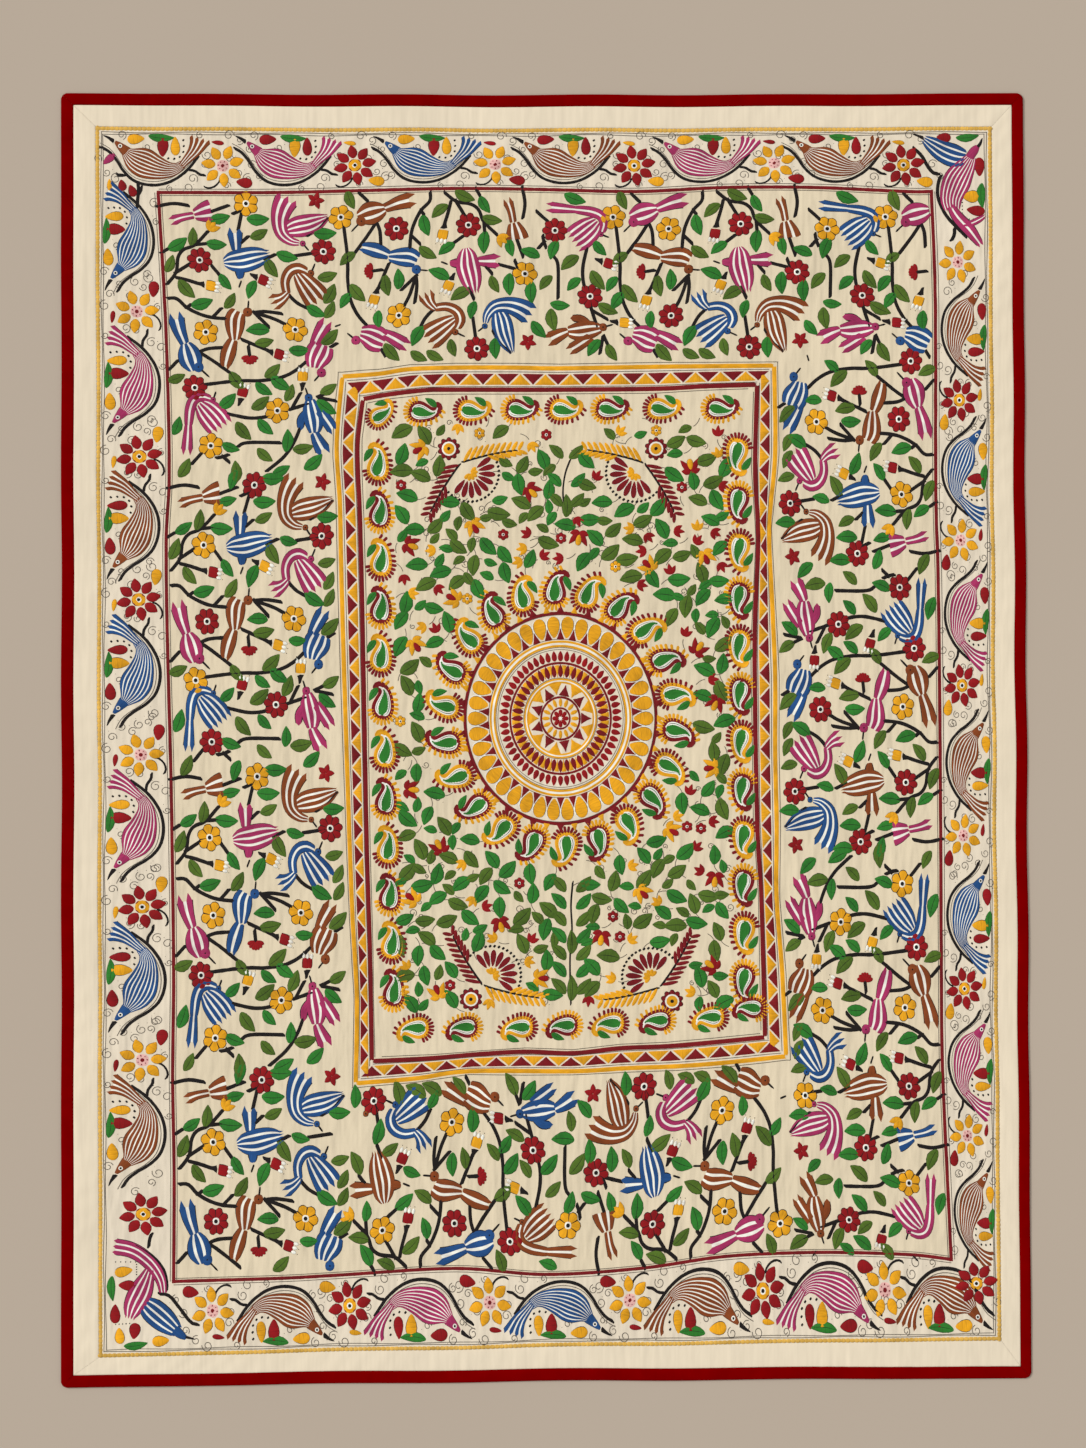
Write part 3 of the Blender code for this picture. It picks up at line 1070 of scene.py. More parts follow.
class BEDSPREAD_OT_lines(bpy.types.Operator):
    """Stitches the gold chain line, the hairlines inside it and the dark red line round the field"""

    bl_idname = "bedspread.lines"
    bl_label = "Stitched lines"

    def execute(self, context):
        for side in SIDES:
            place = border_place(side, 0, fitted=False)
            chain = Needlework(place)
            squares = side_length("margin seam", side) / SQUARE
            pitch = sizes().chain_pitch / SQUARE
            links = round(squares / pitch)
            along = np.linspace(0, squares, links, endpoint=False)
            roots = np.stack((along, np.full(links, CHAIN_INSET)), axis=1)
            petals(chain, roots, 0, pitch * 1.25, sizes().chain_width / SQUARE, "gold", seed_profile, PLAIN)
            chain.make(f"gold_chain_{side}")
            fine = Needlework(place)
            for inset in CHAIN_HAIRLINES:
                run = np.linspace(inset, squares - inset, 160)
                wander = 0.5 * np.sin(run / 17 + inset)
                hairlines(fine, np.stack((run, inset + wander), axis=1)[None])
            fine.make(f"gold_line_hairline_{side}")
            red = Needlework()
            path = side_pair(side, *np.array(RED_LINE[side], float).T)
            line(red, lengthened(path, 2.5), RED_LINE_WIDTH, "maroon")
            outward = {"head": (0, -1), "right": (1, 0), "foot": (0, 1), "left": (-1, 0)}[side]
            smooth = smooth_path(path, 6)
            for gap in (3.4, -3.0):
                hairlines(red, (smooth + gap * np.array(outward))[None])
            red.make(f"red_line_{side}")
        return {"FINISHED"}


# The border's repeat, counted from its flower. Columns: squares along the band, squares in from the gold line,
# and for a band of stitches its half width.
BORDER_FLOWER_DEPTH = 39
BORDER_BIRD = (
    (-99, 23, 3.6), (-95, 27, 7), (-88, 32, 13), (-78, 36.5, 15.5), (-66, 41, 12.5), (-54, 43, 8.5),
    (-45, 41, 5.5), (-39, 36, 4.0),
)
BORDER_TAIL = ((-43, 41, 3.4), (-36, 33, 4.6), (-29, 25, 6.8), (-24.5, 17, 9.4), (-22.5, 11.5, 12))
BORDER_BIRD_HEAD = ((-108, 14.5, 1.2), (-104, 18, 3.2), (-99, 22.5, 5.0), (-95, 26, 6.0))
BORDER_EYE = (-102.5, 19.2)
BORDER_EYE_LAYERS = ((2.1, "white", 1.17, 0.9, SQUARE_GRID), (1.1, "ink", 1.44, 1.17, SQUARE_GRID))
BORDER_BEAK = ((-120, 8.5, 0.5), (-115, 10.5, 1.6), (-108, 15, 3.0))
BORDER_VINE = (
    (-122.5, 20), (-113.5, 25), (-106.5, 33), (-99.5, 44), (-90.5, 53), (-79.5, 57.5), (-66.5, 58.5),
    (-53.5, 55.5), (-41.5, 48.5), (-32.5, 40), (-23.5, 28),
)
BORDER_SHOOT = ((-36.5, 43), (-28.5, 44), (-22.5, 48), (-16, 48.5))
BORDER_TENDRIL = ((-20.5, 59), (-15.5, 61.5), (-9.5, 60.5), (-4.5, 56.5), (-1.5, 50))
BORDER_DOTS = ((-39.5, 13), (-39, 19), (-39.5, 25), (-43, 30), (-48.5, 32), (-54.5, 31.5))
# The border's loose drops. Columns: middle along, middle in, angle in degrees, length, width, and whether it
# has the colour of the flower that follows (0) or the other one (1).
BORDER_DROPS = (
    (-86.5, 12, 176, 18, 11, 0), (-60, 21, -88, 20, 12, 1), (-47.5, 18.5, 88, 20, 10, 0),
    (21, 56, 8, 17, 11, 1), (-5.5, 15.5, 8, 13, 5, 1),
)
BORDER_LEAF = (-61.5, 9.5, 4, 27, 9.5)
# Columns: middle along, middle in, radius.
BORDER_CURLS = (
    (-101, 8, 3.2), (-76, 20, 2.6), (-107, 52, 3.6), (-30, 52, 3.4), (-35, 61, 3.6), (-23, 8, 2.4), (6, 8, 3.6),
    (17, 13, 3.0), (27, 22, 2.6), (29, 38, 3.2), (36, 50, 2.8), (-16, 28, 3.2), (-18, 38, 2.4), (-125, 32, 3.0),
    (-116, 46, 2.6), (-53, 62, 2.4), (4, 59, 2.6),
)
BORDER_LENGTH = 131

# Each side's repeats, clockwise. Columns: the flower's place along the side, its colour, the bird's colour.
# Where a colour is left empty, the repeat has no flower or no bird. The first repeat of the foot has neither,
# and only says how long the next one is.
BORDER_REPEATS = {
    "head": ((127, "yellow", "brown"), (259, "crimson", "magenta"), (399, "yellow", "blue"),
             (538, "crimson", "brown"), (678, "yellow", "magenta"), (807, "crimson", "brown")),
    "right": ((135, "yellow", ""), (273, "crimson", "brown"), (413, "yellow", "blue"),
              (558, "crimson", "magenta"), (708, "yellow", "brown"), (861, "crimson", "blue"),
              (1008, "yellow", "magenta"), (1158, "", "brown")),
    "foot": ((28, "", ""), (115, "yellow", "brown"), (237, "crimson", "magenta"),
             (370, "yellow", "brown"), (510, "yellow", "blue"), (650, "crimson", "magenta"),
             (787, "yellow", "brown")),
    "left": ((143, "crimson", ""), (297, "yellow", "brown"), (450, "crimson", "blue"),
             (602, "yellow", "magenta"), (757, "crimson", "blue"), (900, "crimson", "brown"),
             (1045, "yellow", "magenta"), (1189, "", "blue")),
}
OTHER = {"yellow": "crimson", "crimson": "yellow"}

# The border's flowers: how many petals, how far their roots are from the middle, their length and width, the
# hearts of heaped discs, and the ring of seeds that only the yellow ones have, by its radius and theirs.
BORDER_PETALS = {"crimson": 8, "yellow": 7}
PETAL_ROOT, PETAL_LENGTH, PETAL_WIDTH = 7.2, 14.6, 10.8
SEED_RING, SEED_RADIUS = 4.2, 1.9
BORDER_HEARTS = {
    "crimson": ((7.6, "maroon", 0.5, -0.25, FINE_GRID), (6.6, "yellow", 0.9, 0.0, FINE_GRID),
                (3.0, "white", 1.08, 0.9, SQUARE_GRID), (1.7, "ink", 1.44, 1.08, SQUARE_GRID)),
    "yellow": ((6.8, "blush", 0.54, -0.25, FINE_GRID), (2.0, "maroon", 0.9, 0.54, SQUARE_GRID)),
}


def border_flower(work, middle, thread, rise=STITCH_RISE):
    """A flower of seven or eight separate petals round a centre of the other colour."""
    count = BORDER_PETALS[thread]
    angles = np.arange(count) * TURN / count + 0.6
    petals(work, middle + PETAL_ROOT * unit(angles), angles, PETAL_LENGTH, PETAL_WIDTH, thread, rise=rise)
    heap(work, [middle], BORDER_HEARTS[thread])
    if thread == "yellow":
        discs(work, middle + SEED_RING * unit(angles), SEED_RADIUS, "maroon")


def stretch_along(points, factor):
    """Stretches a border motif along the band, about its flower."""
    return [(point[0] * factor, *point[1:]) for point in points]


class BEDSPREAD_OT_border(bpy.types.Operator):
    """Stitches the border band: birds in the arches of a waving stem, with a flower between each two"""

    bl_idname = "bedspread.border"
    bl_label = "Border band"

    def execute(self, context):
        for side, repeats in BORDER_REPEATS.items():
            birds, flowers, stems, small = (Needlework() for _ in range(4))
            last = 0
            for number, (start, flower, bird) in enumerate(repeats):
                place = border_place(side, start)
                for work in (birds, flowers, stems, small):
                    work.place = place
                pitch = start - last if number else BORDER_LENGTH
                factor = 1 + 0.3 * (pitch / BORDER_LENGTH - 1)
                if flower:
                    border_flower(flowers, (0, BORDER_FLOWER_DEPTH), flower)
                if bird:
                    self.stitch_bird(birds, bird, factor)
                    self.stitch_vine(stems, small, factor, flower)
                last = start
            birds.make(f"border_birds_{side}")
            flowers.make(f"border_flowers_{side}")
            stems.make(f"border_stems_{side}")
            small.make(f"border_drops_{side}")
        self.stitch_corners()
        return {"FINISHED"}

    def stitch_bird(self, work, thread, factor):
        """A long body of many stripes that follows the arch, with a forked tail, a plain head and a beak."""
        for points, bands, step, fray in (
            (BORDER_TAIL, stripes(thread, 4, 0.5, 0.24), 3, 2.5),
            (BORDER_BIRD, stripes(thread, 8, 0.44, 0.3), 3.5, 0),
            (BORDER_BIRD_HEAD, (("ink", 0.3), (thread, 5), ("ink", 0.3)), 2, 0),
            (BORDER_BEAK, (("ink", 1),), 2, 0),
        ):
            ribbon(work, stretch_along(points, factor), bands, step=step, fray=fray)
        heap(work, stretch_along([BORDER_EYE], factor), BORDER_EYE_LAYERS)

    def stitch_vine(self, stems, small, factor, flower):
        """The arch of black stem with its shoots, and the drops, leaf, dots and curls about it. Before a flower
        that is left out, what lies near it is left out too."""
        width = sizes().stem_width / SQUARE * 0.85
        line(stems, stretch_along(BORDER_VINE, factor), width, "ink", step=4)
        line(stems, stretch_along(BORDER_SHOOT, factor), width * 0.9, "ink")
        if flower:
            line(stems, BORDER_TENDRIL, width * 0.75, "ink", rise=LINE_RISE)
        outline = np.array(stretch_along(BORDER_VINE, factor)) + (0, -3.6)
        hairlines(stems, smooth_path(outline, 5)[None])
        reach = 60 if flower else -30
        own = flower or "yellow"
        for along, depth, angle, length, width, other in BORDER_DROPS:
            if along < reach:
                thread = OTHER[own] if other else own
                drops(small, [(along * factor, depth)], math.radians(angle), length, width, thread)
        along, depth, angle, length, width = BORDER_LEAF
        leaves(small, [(along * factor, depth)], math.radians(angle), length, width, "green")
        discs(small, stretch_along(BORDER_DOTS, factor), 1.7, "ink")
        table = np.array([curl for curl in BORDER_CURLS if curl[0] < reach])
        middles = table[:, :2] * (factor, 1)
        curls(small, middles, table[:, 2] * 1.55, np.arange(len(table)) * 1.9)
        discs(small, middles + (6, -3), 0.55, "ink", LINE_RISE)

    def stitch_corners(self):
        """The head right and foot left corners, where two birds meet and the stem turns, and the flower in the
        foot right corner."""
        birds, small = Needlework(), Needlework()
        border_flower(small, CORNER_FLOWER, "crimson", STITCH_RISE * 1.9)
        for count, thread, body, head, beak in CORNER_BIRDS:
            ribbon(birds, body, stripes(thread, count, 0.45, 0.3), step=4, fray=2)
            if head:
                ribbon(birds, head, (("ink", 0.4), (thread, 5), ("ink", 0.4)), step=2)
            if beak:
                ribbon(birds, beak, (("ink", 1),), step=2)
        for stem in CORNER_STEMS:
            line(small, stem, sizes().stem_width / SQUARE, "ink", step=4)
        for across, down, angle, length, width, thread in CORNER_DROPS:
            stitch = leaves if thread == "green" else drops
            stitch(small, [(across, down)], math.radians(angle), length, width, thread)
        for start, end in CORNER_DOTS:
            discs(small, np.linspace(start, end, 5), 0.95, "ink")
        birds.make("border_corner_birds")
        small.make("border_corner_drops")


# The birds of the head right and foot left corners, in squares of the chart: how many stripes, their thread, a
# body or tail, a head and a beak.
CORNER_BIRDS = (
    (4, "blue", ((967, 158, 7.5), (956, 157, 12), (943, 152, 11.5), (931, 144.5, 8), (923, 139, 4)),
     (), ((924, 139, 2.4), (918, 136.5, 1.6), (911, 134, 0.6))),
    (7, "magenta", ((972, 156, 4.5), (966, 166, 10), (957, 181, 14.5), (951, 198, 12), (952, 211, 8.5)),
     ((968, 159, 4.6), (974, 151, 4.6), (978, 146, 2)), ((976, 149, 2.4), (980, 144, 2), (982, 138, 0.6))),
    (2, "magenta", ((949, 204, 4), (957, 217, 6.5), (969, 230, 7), (981, 246, 4)), (), ()),
    (2, "magenta", ((961, 224, 3), (970, 224, 3.5), (979, 220, 3.5), (985, 216, 2)), (), ()),
    (4, "magenta", ((151, 1266, 3.5), (147, 1278, 8.5), (141, 1292, 12.5), (134, 1306, 11), (130, 1318, 5.5)),
     (), ()),
    (3, "magenta", ((164, 1294, 4), (161, 1278, 6.5), (150, 1262, 8), (133, 1250, 8.5), (114, 1246, 9)),
     (), ()),
    (4, "blue", ((143, 1301, 7), (152, 1309, 13), (165, 1320, 13), (178, 1331, 7.5)),
     ((174, 1328, 5.8), (181, 1334, 4.6), (187, 1338, 2.2)),
     ((184, 1336, 2.2), (190, 1337.5, 1.6), (196, 1339, 0.6))),
)
CORNER_FLOWER = (976, 1283)
CORNER_STEMS = (
    ((911, 147), (921, 156), (928, 168), (934, 174), (941, 174)),
    ((941, 174), (937.5, 186), (938, 199), (946, 216), (957, 228), (968, 239)),
    ((954, 226), (954, 235), (950, 243)),
    ((133, 1243), (145, 1250), (156, 1259), (164, 1270), (167, 1282), (166.6, 1293)),
    ((157, 1293), (169, 1295), (178, 1305), (187, 1317), (193, 1323), (201, 1324)),
    ((149, 1249), (150, 1239), (153, 1231)),
    ((103, 147), (99.5, 149)),
    ((115, 174), (120, 176), (127, 175)),
    ((138, 181), (139, 190), (138, 200), (137.5, 211)),
)
# Columns: middle right, middle down, angle in degrees, length, width, thread.
CORNER_DROPS = (
    (943, 138, 4, 15, 10, "crimson"), (967, 137, -6, 24, 9, "green"), (979, 168, -92, 20, 11, "crimson"),
    (982, 196, 88, 26, 10, "green"), (970, 197, 0, 17, 13, "yellow"), (975, 211, 8, 19, 11, "crimson"),
    (124.5, 1271, 168, 19, 11, "yellow"), (113, 1288, 88, 26, 9.5, "green"), (127, 1285, 2, 18, 11, "crimson"),
    (115.5, 1313, 90, 20, 11, "crimson"), (120, 1335, 85, 17, 10.5, "yellow"),
    (135, 1331, -82, 17, 12, "crimson"), (136, 1344, -8, 25, 9.5, "green"),
    (161.5, 1340.5, 174, 18, 11.5, "yellow"),
    (122.5, 185.5, 78, 12, 9, "crimson"), (132.5, 191, 68, 13, 9, "crimson"), (110, 185, 88, 12, 5.5, "yellow"),
    (109, 160, -40, 16, 8, "magenta"),
)
CORNER_DOTS = (
    ((962, 203), (962, 217)), ((965, 219.5), (981, 219.5)), ((116, 1261.5), (136, 1261.5)),
    ((137, 1264), (137, 1274)), ((116, 1324), (130, 1323)),
)


# The field's repeat: squares in from the red line, then squares along it.
FIELD_FLOWERS = ((87, 6), (37.5, 62.5), (166, 54), (40, 134.5), (129.5, 132), (27, 190), (109, 213), (42, 248))
# Columns: in, along, angle in degrees from inwards to onwards, green or olive.
FIELD_LEAVES = (
    (66, 1, 110, "g"), (106, -1, 0, "g"), (60, 20, -10, "g"), (98, 21, 0, "g"),
    (31, 39, -80, "o"), (16, 46, -30, "g"), (55, 46, 5, "g"), (98, 36, -25, "o"), (164, 35, 0, "g"),
    (7, 66, -65, "o"), (125, 58, 15, "g"), (109, 70, 60, "o"), (62, 84, 55, "g"), (23, 91, 50, "o"),
    (88, 92, 115, "g"), (164, 78, -15, "o"), (37, 105, -15, "g"), (65, 103, -55, "o"), (174, 96, -60, "o"),
    (151, 113, 30, "g"), (175, 112, -60, "o"), (92, 133, 180, "g"), (98, 144, -10, "o"), (133, 152, 0, "g"),
    (167, 139, -40, "o"), (9, 180, -20, "o"), (70, 183, 50, "o"), (105, 173, -40, "o"), (96, 191, 35, "g"),
    (113, 185, 35, "g"), (121, 195, -65, "o"), (59, 203, -40, "g"), (92, 205, -35, "o"), (166, 191, -30, "o"),
    (162, 209, 35, "g"), (8, 228, -70, "g"), (97, 229, 45, "g"), (75, 233, 50, "o"), (62, 249, 20, "g"),
    (118, 243, -85, "g"), (134, 250, -10, "o"), (96, 257, 40, "o"), (144, 264, -40, "g"), (112, 272, -25, "g"),
    (15, 270, -60, "o"), (66, 274, -90, "o"),
)
FIELD_BRANCHES = (
    ((47, 34), (34, 47), (22, 52), (16, 60), (13, 75), (4, 86)), ((34, 47), (46, 46)), ((13, 75), (28, 66)),
    ((49, 68), (56, 77)), ((13, 80), (22, 82), (35, 86)),
    ((4, 101), (12, 101), (22, 110), (36, 117), (48, 120), (61, 121)), ((22, 110), (26, 107)),
    ((49, 118), (56, 111)), ((-2, 9), (14, 6), (29, 8)), ((52, 14), (69, 8)), ((82, 16), (78, 31)),
    ((146, 38), (158, 31), (167, 21)), ((102, 62), (113, 57)), ((134, 58), (155, 55)),
    ((125, 98), (132, 105), (141, 110)), ((89, 115), (100, 114), (116, 116)),
    ((89, 115), (108, 121), (120, 127)), ((89, 115), (103, 129)), ((76, 142), (95, 150), (102, 153)),
    ((82, 149), (83, 158)),
    ((34, 154), (42, 151), (56, 150)), ((35, 156), (46, 163), (64, 176)),
    ((37, 187), (62, 184), (78, 183), (93, 183), (113, 180), (128, 173), (139, 164)),
    ((59, 216), (78, 220), (92, 220), (101, 218)), ((121, 212), (140, 206)), ((124, 210), (132, 196)),
    ((150, 199), (159, 195)), ((150, 200), (167, 203)), ((70, 249), (78, 245), (111, 245)),
    ((132, 228), (126, 243), (115, 259), (98, 273)), ((121, 269), (135, 271), (150, 278)),
    ((33, 255), (23, 266)), ((7, 284), (27, 284)), ((52, 291), (66, 286), (78, 286)), ((0, 55), (7, 51)),
    ((80, 45), (87, 39)), ((74, 16), (81, 13)), ((11, 163), (2, 172)), ((170, 146), (165, 149)),
    ((48, 260), (54, 259), (59, 257)), ((54, 259), (60, 264)),
)
# A hanging bell, a crown of three petals and a star. Columns: root, the petals' angles in degrees, their
# length and width, thread, profile.
FIELD_SMALL = (
    ((83, 158), (20, 45, 70, 90, 110, 135, 160), 9, 4.2, "crimson", drop_profile),
    ((48, 33), (-85, -50, -15), 13, 6.5, "yellow", leaf_profile),
    ((157, 3), (0, 72, 144, 216, 288), 9, 6, "crimson", leaf_profile),
)
# Buds on a black cone. Columns: the cone's root in and along, angle in degrees.
FIELD_BUDS = ((32, 85, 12), (86, 76, 25), (98, 152, 18), (70, 209, -72), (134, 194, -85), (150, 276, 5))
# The birds. Each has bands of stripes, with how many stripes, how far the end is frayed and the band's points,
# then a head with its radius, and the two ends of the beak.
FIELD_BIRDS = (
    (((3, 0, ((53, 13, 11.5), (44, 15, 9.5), (34, 17.5, 5))),
      (2, 4, ((35, 17.5, 3.5), (22, 20, 4), (12, 23.5, 5.5)))), (), ()),
    (((2, 5, ((74.5, 54, 4), (74.5, 43, 6.5), (74, 33, 8))),
      (1, 0, ((76.5, 70, 5), (77, 76, 5), (76.5, 82, 2.5))),
      (4, 3, ((60.5, 65, 3), (67.5, 64, 8.5), (79.5, 63, 11.5), (92.5, 60, 10.5), (101.5, 58, 7.5),
              (107, 56.5, 4)))),
     (), ((78, 83), (75, 90))),
    (((3, 4, ((139, 45.5, 2.4), (130, 43.5, 4.5), (121.5, 36, 6.5), (119.5, 24, 8), (122.5, 12, 10),
              (128.5, 1, 11.5))),
      (4, 2, ((125, 33, 5), (134.5, 30, 9.5), (148.5, 27, 10), (159.5, 23, 7), (168.5, 19, 2.5)))),
     (141.5, 46, 2.8), ((144, 48.5), (147, 53))),
    (((3, 5, ((125, 94, 3), (117.5, 101, 5.5), (109, 105, 8.5))),
      (2, 0, ((122.5, 97, 4), (121.5, 84, 4.6), (126.5, 74, 5.2), (135.5, 70.5, 5.2), (144.5, 74, 3.6))),
      (4, 4, ((134, 75, 5), (140.5, 84, 9.5), (148.5, 95, 12.5), (154, 103, 13)))),
     (148, 75.5, 3.2), ((150.5, 72), (152.5, 66))),
    (((2, 3, ((67.5, 141, 4.5), (62.5, 153, 7.5), (59.5, 163, 6.5), (58, 170, 4.5))),
      (3, 0, ((74, 113, 7), (70, 121, 9.8), (69, 132, 8.5), (68.5, 143, 4.5)))),
     (82.5, 114.5, 4.8), ((83, 110), (84, 103))),
    (((2, 6, ((19, 147, 4.5), (13.5, 132, 7), (10.5, 119, 8.5))),
      (3, 0, ((19, 145, 4.5), (21.5, 153, 10), (24, 162, 11.5), (26, 169, 8.5), (27, 174, 4)))),
     (31.5, 169.5, 5.3), ((36, 173.5), (42, 179.5))),
    (((2, 5, ((147, 148, 4.5), (153, 137, 6.5), (160.5, 125, 7.5))),
      (4, 0, ((157.5, 146, 10), (153.5, 154, 13), (149, 163, 11), (147, 171, 6.5)))),
     (154, 175, 4.8), ((150, 179), (146.5, 183.5))),
    (((2, 5, ((20, 226, 3.6), (19, 241, 5), (18, 254, 6))),
      (2, 0, ((43.5, 201.5, 3.4), (34, 199, 4.6), (26, 202, 5.2), (22, 211, 5.2), (20.5, 222, 4.6),
              (20, 229, 3.6))),
      (5, 4, ((31, 205, 6), (38, 212, 11.5), (46, 221, 13.5), (52, 229, 13)))),
     (45, 202, 2.6), ((46.5, 200), (48, 194))),
    (((2, 5, ((145, 234, 4), (149.5, 244, 6.5), (155, 254, 8))),
      (1, 2, ((138, 213, 3), (132.5, 222, 4.5), (132, 232, 3.5))),
      (2, 4, ((150, 211, 5), (158.5, 223, 6), (165, 233, 6))),
      (3, 0, ((141.5, 201, 4), (143, 211, 8.5), (145.5, 224, 9.5), (146, 236, 5)))),
     (140.5, 200, 4.2), ((139.5, 196), (137.5, 190))),
)

# The blocks of the field. Columns: side, where the block starts along its side, where the next one starts,
# stretch along, stretch inwards, shift inwards, then the colours of the flowers, the birds and the buds.
FIELD_BLOCKS = (
    ("left", 198, 479, 1.00, 1.00, 0, "yrryyryy", "mbmnnbmmb", "yrrryy"),
    ("left", 479, 770, 1.06, 0.97, 1, "ryrryyrr", "nbnmnmbbm", "ryyryy"),
    ("left", 770, 1073, 1.08, 0.98, 1, "yyryyryy", "nmnbbmnbm", "yyryrr"),
    ("left", 1073, 1290, 1.10, 1.00, 2, "ry-ryyry", "nbbbnbbmb", "rrryyy"),
    ("head", 1075, 803, 1.00, 0.97, 0, "yrrryyry", "mbnbmmbbm", "yyyyry"),
    ("head", 803, 531, 1.00, 0.97, 0, "rrryryrr", "nmnbnmmmn", "ryyryy"),
    ("head", 531, 259, 1.00, 0.97, 0, "yrrryyyr", "nmbnbnmmb", "yyyyyy"),
    ("right", 560, 282, 1.045, 0.92, 0, "ryrryrrr", "mbnmnmbbn", "ryryyy"),
    ("right", 848, 560, 1.05, 0.92, 0, "rrryrrrr", "mnbmmnbbm", "yyyrry"),
    ("right", 1154, 848, 1.09, 0.92, 0, "rryyyryy", "bnmbmnnbm", "rrryyr"),
    ("right", 1443, 1154, 1.05, 0.92, 0, "rrrrr-ry", "mnbmmnbmn", "rrrrrr"),
    ("foot", 320, 590, 1.00, 1.13, 0, "ryrryrry", "bnnbnbnnb", "rryyrr"),
    ("foot", 590, 862, 1.00, 1.13, 0, "rrryyyrr", "nbnmnmnnm", "yrryyy"),
)
# Where along each side its blocks are drawn.
FIELD_ZONES = {"left": (192, 1276), "head": (335, 937), "right": (357, 1262), "foot": (338, 786)}
BIRD_THREADS = {"b": "blue", "m": "magenta", "n": "brown"}
LEAF_THREADS = {"g": "green", "o": "olive"}
FLOWER_THREADS = {"r": "crimson", "y": "yellow"}
# In squares: how far from the ends of a zone a motif and a leaf stay, how far from the central frame a flower
# and a leaf stay, and a bud's length.
KEEP_CLEAR = 4
LEAF_CLEAR = 9
FLOWER_OFF_FRAME = 19
LEAF_OFF_FRAME = 13
BUD_LENGTH = 26

# In squares: the field's flowers, its leaves' length and how much that varies, and the width of a beak. A leaf's
# width is a share of its length.
FLOWER_RADIUS = 13.4
LEAF_LENGTH, LEAF_VARIES = 22, 2.5
LEAF_WIDTH_SHARE = 0.55
BEAK_WIDTH = 2.4


